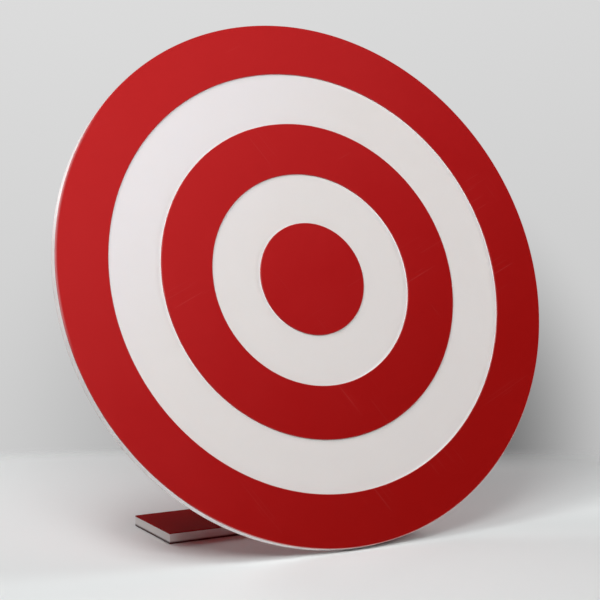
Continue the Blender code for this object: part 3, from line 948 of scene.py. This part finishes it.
@dataclass
class Board:
    """The round bullseye board: the core with its routed rings and the skins left on it."""

    radius: float = 0.4572
    bull_radius: float = 0.0984
    ring_widths: Triple = (0.0866, 0.0915, 0.0904)
    lean: float = math.radians(20.0)
    segments: int = 384
    seat: Matrix = field(init=False)

    def __post_init__(self) -> None:
        """Finds the board's seat, the middle of its back, from its core in the frame."""
        low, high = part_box("board_core")
        turn = Euler((QUARTER_TURN - self.lean, 0.0, 0.0)).to_matrix().to_4x4()
        middle = Matrix.Translation((low + high) / 2)
        self.seat = middle @ turn @ Matrix.Translation((0.0, 0.0, -STOCK.thickness / 2))

    @property
    def walls(self) -> tuple[float, ...]:
        """The radii of the four walls of the routed rings, from the bull's outwards."""
        return tuple(accumulate(self.ring_widths, initial=self.bull_radius))

    def _skin(self, name: str, bonded: float, free: float, outer: float, inner: float = 0.0) -> Piece:
        """A disc or a ring of skin with its free edges rounded.

        Args:
            name: The piece's name.
            bonded: The height of its bonded face.
            free: The height of its free face.
            outer: Its outer radius.
            inner: Its inner radius, 0 for a disc.

        Returns:
            The skin.
        """
        profile = straight(outer, bonded, free) + (straight(inner, free, bonded) if inner else [])
        skin = Bench.turned(name, profile, self.segments, closed=bool(inner))
        Bench.round_off(skin, Part.EDGE, rim_at_height(free), STOCK.edge_radius, STOCK.edge_segments)
        return skin

    def _core(self) -> Piece:
        """The core, with both white rings routed below the joint with the skin.

        Returns:
            The core.
        """
        high, floor = STOCK.core_top, STOCK.route_floor
        profile = straight(self.radius, STOCK.core_bottom, high)
        for inner, outer in (self.walls[2:], self.walls[:2]):
            profile += straight(outer, high, floor) + straight(inner, floor, high)
        return Bench.turned("routed_core", profile, self.segments)

    def build(self, holes: Callable[[], list[Piece]]) -> None:
        """Builds the board's five layers.

        Args:
            holes: Makes the drills that the bracket screws need.
        """
        walls, front = self.walls, (STOCK.skin_underside, STOCK.thickness)
        core = self._core()
        bull = self._skin("bull", *front, walls[0])
        middle = self._skin("middle_ring", *front, walls[2], walls[1])
        outer = self._skin("outer_ring", *front, self.radius, walls[3])
        rear = self._skin("rear_skin", STOCK.skin, 0.0, self.radius)
        pieces = [core, rear, bull, middle, outer]
        nodes = ["board_core", "board_rear_skin", "bull_skin", "middle_ring_skin", "outer_ring_skin"]
        for piece, node in zip(pieces, nodes):
            Bench.seat(piece, self.seat)
            if piece in (core, rear):
                Bench.combine(piece, holes())
            Bench.finish(piece)
            install(piece, Body.BOARD, node)
        # the board's core carries painted light on its lit side, beside its walls and along its rim
        WhiteCore(radius=self.radius, walls=self.walls).dress([core], self.seat)
        # the front skins carry painted light and shade across them and painted highlights along the rim
        RedSkin(rim=self.radius).dress([bull, middle, outer], self.seat)
        behind = RedSkin("red_rear_skin", cut=(0.600, 0.460, 0.450), cut_gloss=0.0, cut_pale=0.8)
        behind.dress([rear], self.seat)


@dataclass
class Plank:
    """A straight piece of the sheet: its three layers, along the axes of its seat."""

    name: str
    body: Body
    nodes: tuple[str, str, str]
    seat: Matrix
    low: Place
    high: Place
    skin: RedSkin
    inside: WhiteCore

    def _layer(self, which: str, bottom: float, top: float) -> Piece:
        """One layer between two heights."""
        return Bench.block(f"{self.name}_{which}", (*self.low, bottom), (*self.high, top))

    def build(self, cut: Callable[[Piece], None], holes: Callable[[], list[Piece]]) -> None:
        """Builds the three layers.

        Args:
            cut: Shapes a seated layer further, as the bevel at the leg's top does.
            holes: Makes the drills that its screws need.
        """
        rear = self._layer("lower_skin", 0.0, STOCK.skin)
        core = self._layer("core", STOCK.core_bottom, STOCK.core_top)
        front = self._layer("upper_skin", STOCK.skin_underside, STOCK.thickness)
        for skin, level in ((rear, 0.0), (front, STOCK.thickness)):
            Bench.round_off(skin, Part.EDGE, at_height(level), STOCK.edge_radius, STOCK.edge_segments)
        for piece, node in zip((rear, core, front), self.nodes):
            Bench.seat(piece, self.seat)
            cut(piece)
            Bench.combine(piece, holes())
            Bench.finish(piece)
            install(piece, self.body, node)
        self.inside.dress([core], self.seat)
        self.skin.dress([rear, front], self.seat)


@dataclass(frozen=True)
class WoodScrew:
    """A cross-recess wood screw, modelled with its head's underside or top at its seat."""

    shank_radius: float = 0.0021
    root_radius: float = 0.001512
    point_radius: float = 0.0003
    tip_length: float = 0.004
    thread_pitch: float = 0.0016
    crest_at: float = 0.0005
    root_at: float = 0.0010
    pan_radius: float = 0.0045
    pan_height: float = 0.0028
    dome_foot: float = 0.35
    dome_steps: int = 6
    dome_fullness: float = 0.7
    flat_radius: float = 0.004
    flat_rim: float = 0.0002
    recess_across: float = 0.0044
    recess_width: float = 0.0010
    recess_depth: float = 0.0012
    recess_above: float = 0.001
    recess_taper: Triple = (0.5, 0.7, 1.0)
    clearance: float = 0.0003
    segments: int = 32

    def holes(self, length: float, *seats: Matrix) -> list[Piece]:
        """The drills for screws of this length on these seats."""
        profile = straight(self.shank_radius + self.clearance, -length - self.clearance, self.clearance)
        return Bench.drills("screw_hole", profile, self.segments, *seats)

    def _screw(self, name: str, length: float, head: Profile, top: float) -> Piece:
        """A screw with its rolled thread and the cross recess pressed into its head.

        Args:
            name: The piece's name.
            length: Its length under the head's seat.
            head: The head's (radius, height) points.
            top: The height of the head's top.

        Returns:
            The screw.
        """
        tip = self.tip_length - length
        points = [(self.point_radius, -length), (self.root_radius, tip)]
        for turn in range(int((length - self.tip_length) / self.thread_pitch)):
            start = tip + turn * self.thread_pitch
            points += [(self.shank_radius, start + self.crest_at), (self.root_radius, start + self.root_at)]
        screw = Bench.turned(name, [*points, *head], self.segments)
        half, wide, floor = self.recess_across / 2, self.recess_width / 2, top - self.recess_depth
        for turn in (0.0, QUARTER_TURN):
            blade = Bench.block("blade", (-half, -wide, floor), (half, wide, top + self.recess_above))
            Bench.choose(blade, Part.FACE, at_height(floor))
            bpy.ops.transform.resize(value=self.recess_taper, center_override=(0.0, 0.0, floor))
            Bench.deselect()
            Bench.seat(blade, Matrix.Rotation(turn, 4, "Z"))
            Bench.combine(screw, [blade])
        return Bench.finish(screw)

    def pan_head(self, length: float) -> Piece:
        """A screw with a domed head above its seat.

        Args:
            length: Its length under the head.

        Returns:
            The screw.
        """
        foot, rise = self.pan_height * self.dome_foot, self.pan_height * (1.0 - self.dome_foot)
        head = [(self.shank_radius, 0.0), (self.pan_radius, 0.0)]
        for number in range(self.dome_steps):
            turn = QUARTER_TURN * number / self.dome_steps
            across = self.pan_radius * math.cos(turn) ** self.dome_fullness
            head.append((across, foot + rise * math.sin(turn)))
        return self._screw("pan_head_screw", length, head, self.pan_height)

    def flat_head(self, length: float) -> Piece:
        """A screw with a countersunk head below its seat.

        Args:
            length: Its length with the head.

        Returns:
            The screw.
        """
        depth = self.flat_radius - self.shank_radius
        head = [(self.shank_radius, -depth), (self.flat_radius, -self.flat_rim), (self.flat_radius, 0.0)]
        return self._screw("flat_head_screw", length, head, 0.0)


@dataclass
class PivotBracket:
    """An angle bracket on the board's back: a flange with three screws and an ear for the pivot."""

    board: Board
    above_centre: float = 0.016
    off_the_back: float = 0.019
    ear_inner: float = 0.0778
    metal: float = 0.003
    length: float = 0.064
    flange_width: float = 0.036
    bend_radius: float = 0.003
    bend_segments: int = 10
    ear_beyond_pivot: float = 0.014
    ear_corner: float = 0.011
    flange_corner: float = 0.004
    broken_edge: float = 0.00035
    screw_pitch: float = 0.022
    screw_length: float = 0.0156
    screw_hole: float = 0.0024
    screw_hole_sides: int = 32
    pivot_hole: float = 0.0043
    pivot_hole_sides: int = 40
    gap: float = 0.0003

    @property
    def screw_places(self) -> list[Place]:
        """The screws' places on the flange, in the middle of its flat."""
        x = self.ear_inner + (self.bend_radius + self.metal + self.flange_width) / 2
        return [(x, step * self.screw_pitch) for step in (-1, 0, 1)]

    def seat(self, side: Side) -> Matrix:
        """The bracket's seat on the board's back, turned for its side."""
        place = Matrix.Translation((0.0, self.above_centre, 0.0)) @ Matrix.Rotation(side.value, 4, "Z")
        return self.board.seat @ place

    def screw_seats(self, side: Side) -> list[Matrix]:
        """The seats of the flange's screws, their heads away from the board."""
        seat, turned, level = self.seat(side), Matrix.Rotation(math.pi, 4, "X"), -(self.metal + 2 * self.gap)
        return [seat @ Matrix.Translation((x, y, level)) @ turned for x, y in self.screw_places]

    def holes(self) -> list[Piece]:
        """The drills for the screws of both brackets."""
        seats = [place for side in Side for place in self.screw_seats(side)]
        return WoodScrew().holes(self.screw_length, *seats)

    def _blank(self) -> Piece:
        """The folded sheet metal before it is drilled.

        Returns:
            The blank, flat on its seat with its ear away from the board.
        """
        fold = self.ear_inner + MERGE_DISTANCE
        outer = self.ear_inner + self.flange_width - MERGE_DISTANCE
        level = -self.gap - MERGE_DISTANCE
        drop = self.off_the_back + self.ear_beyond_pivot - self.gap
        Bench.deselect()
        middle = (self.ear_inner + self.flange_width / 2, 0.0, -self.gap)
        bpy.ops.mesh.primitive_plane_add(size=1.0, location=middle)
        blank = bpy.context.object
        blank.scale = (self.flange_width, self.length, 1.0)
        bpy.ops.object.transform_apply(location=True, rotation=True, scale=True)
        Bench.choose(blank, Part.EDGE, lambda start, end: max(start.x, end.x) < fold)
        bpy.ops.mesh.extrude_edges_move(TRANSFORM_OT_translate={"value": (0.0, 0.0, -drop)})
        bend = self.bend_radius + self.metal
        for part, wanted, radius in (
            (Part.VERT, lambda spot: spot.z < -drop, self.ear_corner),
            (Part.VERT, lambda spot: spot.x > outer, self.flange_corner),
            (Part.EDGE, lambda start, end: max(start.x, end.x) < fold and min(start.z, end.z) > level, bend),
        ):
            Bench.round_off(blank, part, wanted, radius, self.bend_segments)
        Bench.modify(blank, "SOLIDIFY", thickness=self.metal, use_even_offset=True)
        return blank

    def build(self) -> None:
        """Builds both brackets and their screws."""
        blank = self._blank()
        spots = [Matrix.Translation((x, y, 0.0)) for x, y in self.screw_places]
        profile = straight(self.screw_hole, -4 * self.metal, 2 * self.metal)
        Bench.combine(blank, Bench.drills("flange_hole", profile, self.screw_hole_sides, *spots))
        axis = Matrix.Translation((0.0, 0.0, -self.off_the_back)) @ ALONG_X
        profile = straight(self.pivot_hole, self.ear_inner - self.metal, self.ear_inner + 2 * self.metal)
        Bench.combine(blank, Bench.drills("pivot_hole", profile, self.pivot_hole_sides, axis))
        Bench.finish(blank, self.broken_edge)
        screw = WoodScrew().pan_head(self.screw_length)
        for side in Side:
            word, seat = side.word, self.seat(side)
            fit(blank, f"{word}_angle_bracket", seat, Body.BOARD, f"{word}_pivot_bracket", Stainless())
            for number, spot in enumerate(self.screw_seats(side), start=1):
                name, node = f"{word}_pan_head_{number}", f"{word}_bracket_screw_{number}"
                fit(screw, name, spot, Body.BOARD, node, Stainless("screw_steel"))
        Bench.discard(blank, screw)


@dataclass
class Pivot:
    """The leg's pivot: a shoulder screw through each ear, and a washer inside it."""

    pivot: Vector
    washer_inner: float = 0.0763
    washer_thickness: float = 0.0012
    washer_radius: float = 0.0085
    washer_edge: float = 0.00025
    head_seat: float = 0.0811
    head_radius: float = 0.0065
    head_height: float = 0.0045
    head_edge: float = 0.0007
    shoulder_radius: float = 0.004
    shank_radius: float = 0.003
    shank_length: float = 0.038
    socket_across: float = 0.005
    socket_depth: float = 0.0025
    socket_point: float = 0.0005
    socket_sides: int = 6
    rounding: float = 0.3
    clearance: float = 0.0003
    segments: int = 48

    def seat(self, side: Side) -> Matrix:
        """The pivot's seat, its axis out along the side."""
        return Matrix.Translation(self.pivot) @ (Matrix.Rotation(side.value, 4, "Z") @ ALONG_X)

    def bores(self) -> list[Piece]:
        """The drills for both shanks in the leg."""
        low = self.washer_inner - self.shank_length - self.clearance
        profile = straight(self.shank_radius + self.clearance, low, self.head_seat)
        return Bench.drills("pivot_bore", profile, self.segments, *map(self.seat, Side))

    def _screw(self) -> Piece:
        """The shoulder screw with its hexagon socket.

        Returns:
            The screw along its own axis.
        """
        tip, top = self.washer_inner - self.shank_length, self.head_seat + self.head_height
        edge, eased = self.head_edge, self.head_edge * self.rounding
        shank, shoulder, head = self.shank_radius, self.shoulder_radius, self.head_radius
        points = [(shank - edge, tip), (shank, tip + edge), (shank, self.washer_inner)]
        points += [(shoulder, self.washer_inner), (shoulder, self.head_seat), (head, self.head_seat)]
        points += [(head, top - edge), (head - eased, top - eased), (head - edge, top)]
        screw = Bench.turned("shoulder_screw", points, self.segments)
        corner = self.socket_across / 2 / math.cos(math.pi / self.socket_sides)
        floor = top - self.socket_depth
        socket = [(corner * self.rounding, floor - self.socket_point), *straight(corner, floor, top + edge)]
        Bench.combine(screw, [Bench.turned("hexagon_socket", socket, self.socket_sides)])
        return Bench.finish(screw)

    def _washer(self) -> Piece:
        """The washer with its edges broken.

        Returns:
            The washer along its own axis.
        """
        inner, outer = self.washer_inner, self.washer_inner + self.washer_thickness
        bore, rim, edge = self.shoulder_radius + self.clearance, self.washer_radius, self.washer_edge
        around = [(rim, inner + edge), (rim, outer - edge), (rim - edge, outer), (bore + edge, outer)]
        inside = [(bore, outer - edge), (bore, inner + edge), (bore + edge, inner), (rim - edge, inner)]
        return Bench.finish(Bench.turned("washer", around + inside, self.segments, closed=True))

    def build(self) -> None:
        """Builds both shoulder screws and both washers."""
        screw, washer = self._screw(), self._washer()
        for side in Side:
            word, seat = side.word, self.seat(side)
            steel = Stainless("shoulder_steel")
            fit(screw, f"{word}_shoulder_screw", seat, Body.LEG, f"{word}_pivot_screw", steel)
            fit(washer, f"{word}_washer", seat, Body.LEG, f"{word}_pivot_washer", Nylon())
        Bench.discard(screw, washer)


@dataclass
class ButtHinge:
    """A butt hinge in the corner of the leg and the foot: two leaves, a pin and six screws."""

    axis: Vector
    offset: float = 0.043
    length: float = 0.050
    leaf_width: float = 0.025
    metal: float = 0.002
    underside: float = -0.0037
    corner: float = 0.004
    corner_segments: int = 8
    broken_edge: float = 0.0002
    knuckle_radius: float = 0.0035
    knuckle_sides: int = 48
    knuckles: int = 5
    knuckle_gap: float = 0.0006
    running_gap: float = 0.0005
    pin_radius: float = 0.002
    pin_head_radius: float = 0.003
    pin_head_height: float = 0.0012
    pin_head_turns: tuple[float, ...] = (0.0, 30.0, 55.0, 75.0)
    clearance: float = 0.0003
    screw_inset: float = 0.008
    screw_row: float = 0.01175
    screw_stagger: float = 0.005
    screw_length: float = 0.0143
    sink_radius: float = 0.0043
    hole_radius: float = 0.0024
    hole_sides: int = 40

    @property
    def top(self) -> float:
        """Height of the leaf's upper face above the hinge's axis."""
        return self.underside + self.metal

    @property
    def screw_places(self) -> list[Place]:
        """The screws' places on a leaf."""
        pitch = self.length / 2 - self.screw_inset
        return [(step * pitch, self.screw_row + self.screw_stagger * (1 - abs(step))) for step in (-1, 0, 1)]

    def leaf_seat(self, side: Side, body: Body) -> Matrix:
        """A leaf's seat: its own X along the pin, its own Y away from the pin.

        Args:
            side: The hinge's side.
            body: The body that the leaf is screwed to.

        Returns:
            The seat.
        """
        x = self.offset if side is Side.RIGHT else -self.offset
        place = Matrix.Translation(self.axis + Vector((x, 0.0, 0.0)))
        if body is Body.FOOT:
            return place
        return place @ Matrix(((-1.0, 0.0, 0.0), (0.0, 0.0, 1.0), (0.0, 1.0, 0.0))).to_4x4()

    def screw_seats(self, side: Side, body: Body) -> list[Matrix]:
        """The seats of a leaf's screws, flush with its face."""
        leaf = self.leaf_seat(side, body)
        return [leaf @ Matrix.Translation((x, y, self.top)) for x, y in self.screw_places]

    def _leaf(self, name: str, other_knuckles: Iterable[int]) -> Piece:
        """A leaf, cut away for the other leaf's knuckles.

        Args:
            name: The piece's name.
            other_knuckles: The places of the other leaf's knuckles, from 0.

        Returns:
            The leaf.
        """
        half, top, outer = self.length / 2, self.top, self.leaf_width - MERGE_DISTANCE
        leaf = Bench.block(name, (-half, 0.0, self.underside), (half, self.leaf_width, top))
        Bench.round_off(
            leaf,
            Part.EDGE,
            lambda start, end: min(start.y, end.y) > outer and abs(start.z - end.z) > MERGE_DISTANCE,
            self.corner,
            self.corner_segments,
        )
        roll = straight(self.knuckle_radius, -half, half)
        Bench.combine(leaf, Bench.drills("roll", roll, self.knuckle_sides, ALONG_X), "UNION")
        pitch, reach = self.length / self.knuckles, self.knuckle_radius + self.running_gap
        half_gap = (pitch + self.knuckle_gap) / 2
        gaps = []
        for number in other_knuckles:
            middle = (number - (self.knuckles - 1) / 2) * pitch
            low, high = (middle - half_gap, -2 * reach, -2 * reach), (middle + half_gap, reach, 2 * reach)
            gaps.append(Bench.block("gap", low, high))
        Bench.combine(leaf, gaps)
        bore = straight(self.pin_radius + self.clearance, -self.length, self.length)
        Bench.combine(leaf, Bench.drills("bore", bore, self.hole_sides, ALONG_X))
        depth = self.sink_radius - self.hole_radius
        sink = straight(self.hole_radius, top - 2 * self.metal, top - depth)
        sink += straight(self.sink_radius, top, top + self.metal)
        spots = [Matrix.Translation((x, y, 0.0)) for x, y in self.screw_places]
        Bench.combine(leaf, Bench.drills("sink", sink, self.hole_sides, *spots))
        return Bench.finish(leaf, self.broken_edge)

    def _pin(self) -> Piece:
        """The pin, with a low domed head at each end.

        Returns:
            The pin along its own axis.
        """
        half = self.length / 2 + self.clearance
        end = [(self.pin_radius, half)]
        for turn in map(math.radians, self.pin_head_turns):
            end.append((self.pin_head_radius * math.cos(turn), half + self.pin_head_height * math.sin(turn)))
        other_end = [(radius, -height) for radius, height in reversed(end)]
        return Bench.finish(Bench.turned("pin", [*other_end, *end], self.hole_sides))

    def build(self) -> None:
        """Builds both hinges."""
        leaves = {
            Body.LEG: self._leaf("leg_leaf", range(1, self.knuckles, 2)),
            Body.FOOT: self._leaf("foot_leaf", range(0, self.knuckles, 2)),
        }
        pin = self._pin()
        screw = WoodScrew().flat_head(self.screw_length)
        for side in Side:
            word, axis = side.word, self.leaf_seat(side, Body.FOOT) @ ALONG_X
            fit(pin, f"{word}_pin", axis, Body.LEG, f"{word}_hinge_pin", Stainless("pin_steel"))
            for body, leaf in leaves.items():
                name, node = f"{word}_{body.value}_leaf", f"{word}_hinge_{body.value}_leaf"
                fit(leaf, name, self.leaf_seat(side, body), body, node, Stainless("leaf_steel"))
                for number, spot in enumerate(self.screw_seats(side, body), start=1):
                    name = f"{word}_{body.value}_flat_head_{number}"
                    node = f"{word}_{body.value}_leaf_screw_{number}"
                    fit(screw, name, spot, body, node, Stainless("screw_steel"))
        Bench.discard(*leaves.values(), pin, screw)


@dataclass
class Stand:
    """The leg and the foot, and how their layers are cut for what they carry."""

    board: Board
    pivot: Pivot
    hinge: ButtHinge
    stop_gap: float = 0.0003

    def _bevel_top(self, layer: Piece) -> None:
        """Cuts a layer of the leg along the board's back, where the leg bears on it.

        Args:
            layer: The layer on its seat.
        """
        back = self.board.seat.to_3x3() @ Vector((0.0, 0.0, -1.0))
        plane = self.board.seat.translation + back * self.stop_gap
        if min((vert.co - plane).dot(back) for vert in layer.data.vertices) <= 0.0:
            Bench.choose(layer, Part.FACE, lambda *corners: True)
            bpy.ops.mesh.bisect(plane_co=plane, plane_no=back, use_fill=True, clear_inner=True)
            Bench.deselect()

    def _holes(self, body: Body) -> list[Piece]:
        """The drills for the hinge screws of one body, and for the pivot on the leg."""
        seats = [place for side in Side for place in self.hinge.screw_seats(side, body)]
        bores = self.pivot.bores() if body is Body.LEG else []
        return WoodScrew().holes(self.hinge.screw_length, *seats) + bores

    def build(self) -> None:
        """Builds the leg and the foot."""
        low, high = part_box("leg_core")
        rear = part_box("leg_rear_skin")[1].y
        upright = Matrix.Translation((0.0, rear, 0.0)) @ Matrix.Rotation(QUARTER_TURN, 4, "X")
        nodes = ("leg_rear_skin", "leg_core", "leg_front_skin")
        skin, inside = RedSkin("leg_skin", cut_gloss=0.3, cut_pale=0.2), WhiteCore("leg_core")
        leg = Plank("leg", Body.LEG, nodes, upright, (low.x, low.z), (high.x, high.z), skin, inside)
        leg.build(self._bevel_top, lambda: self._holes(Body.LEG))
        low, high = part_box("foot_core")
        flat = Matrix.Identity(4)
        nodes = ("foot_bottom_skin", "foot_core", "foot_top_skin")
        # the foot's red is darker than the board's: a painted shade copy for a foot that stands in the
        # board's shadow
        red, plain = (0.290, 0.0050, 0.0050), {"sheen": 0.0, "cut_gloss": 0.0, "cut_pale": 0.0}
        # the foot's skin and core get painted shade where they meet the floor
        skin = RedSkin("foot_skin", colour=red, faded_and_lit=red, gloss=0.44, contact_shade=1.0, **plain)
        inside = WhiteCore("foot_core", contact_shade=0.9)
        foot = Plank("foot", Body.FOOT, nodes, flat, (low.x, low.y), (high.x, high.y), skin, inside)
        foot.build(lambda layer: None, lambda: self._holes(Body.FOOT))


@dataclass(frozen=True)
class Lamp:
    """A square soft box that points at the middle of the board."""

    name: str
    elevation: float
    azimuth: float
    power: float
    seen_in_gloss: bool = True
    distance: float = 2.2
    size: float = 0.9

    def hang(self, target: Vector) -> None:
        """Hangs the lamp in its direction from its target, at 0 in front and to the left from there.

        Args:
            target: The spot that it points at.
        """
        data = bpy.data.lights.new(self.name, "AREA")
        data.shape = "SQUARE"
        data.size = self.size
        data.energy = self.power
        turn, rise = math.radians(self.azimuth), math.radians(self.elevation)
        level = math.cos(rise)
        away = Vector((-math.sin(turn) * level, -math.cos(turn) * level, math.sin(rise)))
        lamp = bpy.data.objects.new(self.name, data)
        lamp.location = target + away * self.distance
        lamp.rotation_euler = (-away).to_track_quat("-Z", "Y").to_euler()
        lamp.visible_glossy = self.seen_in_gloss
        bpy.context.scene.collection.objects.link(lamp)


@dataclass
class Studio:
    """A pale floor that fades into a pale surround, soft light and the photograph's camera."""

    contact: Vector
    camera_from_contact: Triple = (-1.4268, -2.4657, 0.7300)
    camera_turn: Triple = (83.645, 0.0285, -28.294)
    lens: float = 105.81
    sensor_width: float = 36.0
    sight: float = 200.0
    floor_width: float = 120.0
    floor_level: float = -0.0004
    floor_roughness: float = 0.9
    floor_sheen: float = 0.2
    floor_colour: Colour = (0.872, 0.896, 0.896)
    # painted shade on the floor: darker from just behind the board's foot towards the camera, reaching
    # further back on the right
    floor_shaded_near: Colour = (0.782, 0.80, 0.80)
    near_from: float = 0.10
    near_reach: float = 0.40
    near_right: float = 0.22
    right_of_contact: Step = (-0.06, 0.34)
    floor_half: Place = (1.15, 0.884)
    fade: Place = (0.86, 0.70)
    haze: Place = (0.576, 0.741)
    haze_up: Step = (-0.35, 0.55)
    haze_right: float = 0.03
    haze_across: Step = (-0.17, 0.34)
    behind: Step = (0.6, 0.3)
    shade_middle: float = 0.0295
    shade_level: float = 0.1984
    shade_squash: float = 0.93
    shade_across: Step = (-0.05, 0.1)
    shade_start: float = 0.075
    shade_reach: Place = (0.145, 0.092)
    shade_depth: Place = (0.35, 0.73)
    world_level: float = 0.02
    dark_front: float = 0.06
    front: Step = (-0.2, 0.7)
    lamp_target: Triple = (0.0, 0.15, 0.43)
    lamps: tuple[Lamp, ...] = (
        Lamp("key", 35.0, 35.0, 25.5),
        Lamp("side", 55.0, 70.0, 22.0),
        Lamp("back", 20.0, 150.0, 14.6),
        Lamp("fill", 17.0, -70.0, 22.0, seen_in_gloss=False),
    )

    @property
    def heading(self) -> float:
        """The camera's turn about the upright."""
        return math.radians(self.camera_turn[2])

    def _camera(self) -> None:
        """Sets the camera where the photograph was taken."""
        data = bpy.data.cameras.new("camera")
        data.lens = self.lens
        data.sensor_width = self.sensor_width
        data.clip_end = self.sight
        camera = bpy.data.objects.new("camera", data)
        camera.location = self.contact + Vector(self.camera_from_contact)
        camera.rotation_euler = [math.radians(angle) for angle in self.camera_turn]
        bpy.context.scene.collection.objects.link(camera)
        bpy.context.scene.camera = camera

    def _haze(self, shader: Shader) -> Socket:
        """The brightness of the surround by direction, with the soft shade that the board throws on it.

        Args:
            shader: The surround's shader.

        Returns:
            The brightness.
        """
        direction = shader.node("ShaderNodeTexCoord", {}, {}, "Generated")
        turned = {"Vector": direction, "Rotation": (0.0, 0.0, self.heading)}
        across, away, up = shader.parts(shader.node("ShaderNodeMapping", {"vector_type": "TEXTURE"}, turned))
        behind = away.above(*self.behind)
        side = across / away - self.shade_middle
        rise = (self.shade_level + up / away) * self.shade_squash
        right = side.above(*self.shade_across)
        reach, depth = right.between(*self.shade_reach), right.between(*self.shade_depth)
        clear = ((side.length(rise) - self.shade_start) / reach).above(0.0, 1.0)
        level = up.above(*self.haze_up).between(*self.haze)
        level = level - side.above(*self.haze_across) * behind * self.haze_right
        return level * (1.0 - (1.0 - clear) * depth * behind)

    def _floor(self) -> None:
        """Lays the pale floor, with painted shade near the board, which fades out of sight some way from the
        board and lights it from beyond.
        """
        Bench.deselect()
        bpy.ops.mesh.primitive_plane_add(size=self.floor_width, location=(0.0, 0.0, self.floor_level))
        floor = bpy.context.object
        floor.name = "studio_floor"
        shader = Shader.material("studio_floor")
        heading = Matrix.Rotation(self.heading, 4, "Z")
        across, back, _ = shader.parts(shader.place(Matrix.Translation(self.contact) @ heading))
        # painted shade on the floor near the board, reaching further back on its right where its shadow falls
        right = across.above(*self.right_of_contact)
        near = (self.near_from + right * self.near_right - back) / (self.near_reach - right * self.near_right)
        colour = shader.blend(near.above(0.0, 1.0), self.floor_colour, self.floor_shaded_near)
        rough, sheen = self.floor_roughness, self.floor_sheen
        shader.feed(shader.surface, {"Base Color": colour, "Roughness": rough, "Specular IOR Level": sheen})
        wide, deep = across / self.floor_half[0], back / self.floor_half[1]
        reach = ((wide * wide) ** 2.0 + (deep * deep) ** 2.0) ** 0.25
        start = right.between(*self.fade)
        far = ((reach - start) / (1.0 - start)).above(0.0, 1.0)
        clear = shader.node("ShaderNodeBsdfTransparent", {}, {})
        mixed = {0: far * self._seen(shader)[0], 1: Socket(shader, shader.surface.outputs[0]), 2: clear}
        surface = shader.node("ShaderNodeMixShader", {}, mixed)
        shader.feed(shader.tree.nodes["Material Output"], {"Surface": surface})
        floor.data.materials.append(shader.owner)

    def _seen(self, shader: Shader) -> tuple[Socket, Socket]:
        """Whether a ray shows what it meets, and whether it is a reflection.

        Args:
            shader: The shader to ask in.

        Returns:
            Both answers.
        """
        path = shader.node("ShaderNodeLightPath", {}, {}).link.node
        kinds = ("Camera", "Glossy", "Transmission")
        camera, glossy, clear = (Socket(shader, path.outputs[f"Is {kind} Ray"]) for kind in kinds)
        return camera.largest(glossy, clear), glossy

    def _world(self) -> None:
        """Sets an even surround: plain for light, pale where it is seen, darker in front in reflections."""
        world = bpy.data.worlds.new("studio")
        shader = Shader(world, "Background")
        seen, glossy = self._seen(shader)
        _, away, _ = shader.parts(shader.node("ShaderNodeTexCoord", {}, {}, "Generated"))
        front = (0.0 - away).above(*self.front) * glossy
        haze = self._haze(shader)
        pale = haze - front * (haze - self.dark_front)
        level = seen.between(self.world_level, pale)
        shader.feed(shader.surface, {"Strength": level, "Color": (1.0, 1.0, 1.0, 1.0)})
        bpy.context.scene.world = world

    def build(self) -> None:
        """Sets up the whole studio."""
        self._camera()
        self._floor()
        self._world()
        for lamp in self.lamps:
            lamp.hang(self.contact + Vector(self.lamp_target))
        bpy.context.scene.view_settings.view_transform = "Standard"


def joint_place(name: str) -> Vector:
    """Where a joint's axis passes the middle plane."""
    return Vector(next(joint["pos_m"] for joint in frame["joints"] if joint["name"] == name))


def main() -> None:
    """Builds the target and its studio."""
    logging.basicConfig(level=logging.INFO, format="%(name)s: %(message)s")
    board = Board()
    bracket = PivotBracket(board)
    pivot = Pivot(joint_place("leg_pivot"))
    hinge = ButtHinge(joint_place("foot_hinge"))
    board.build(bracket.holes)
    bracket.build()
    pivot.build()
    hinge.build()
    Stand(board, pivot, hinge).build()
    back_low = board.seat @ Vector((0.0, -board.radius, 0.0))
    Studio(Vector((0.0, back_low.y, 0.0))).build()


if __name__ == "__main__":
    main()
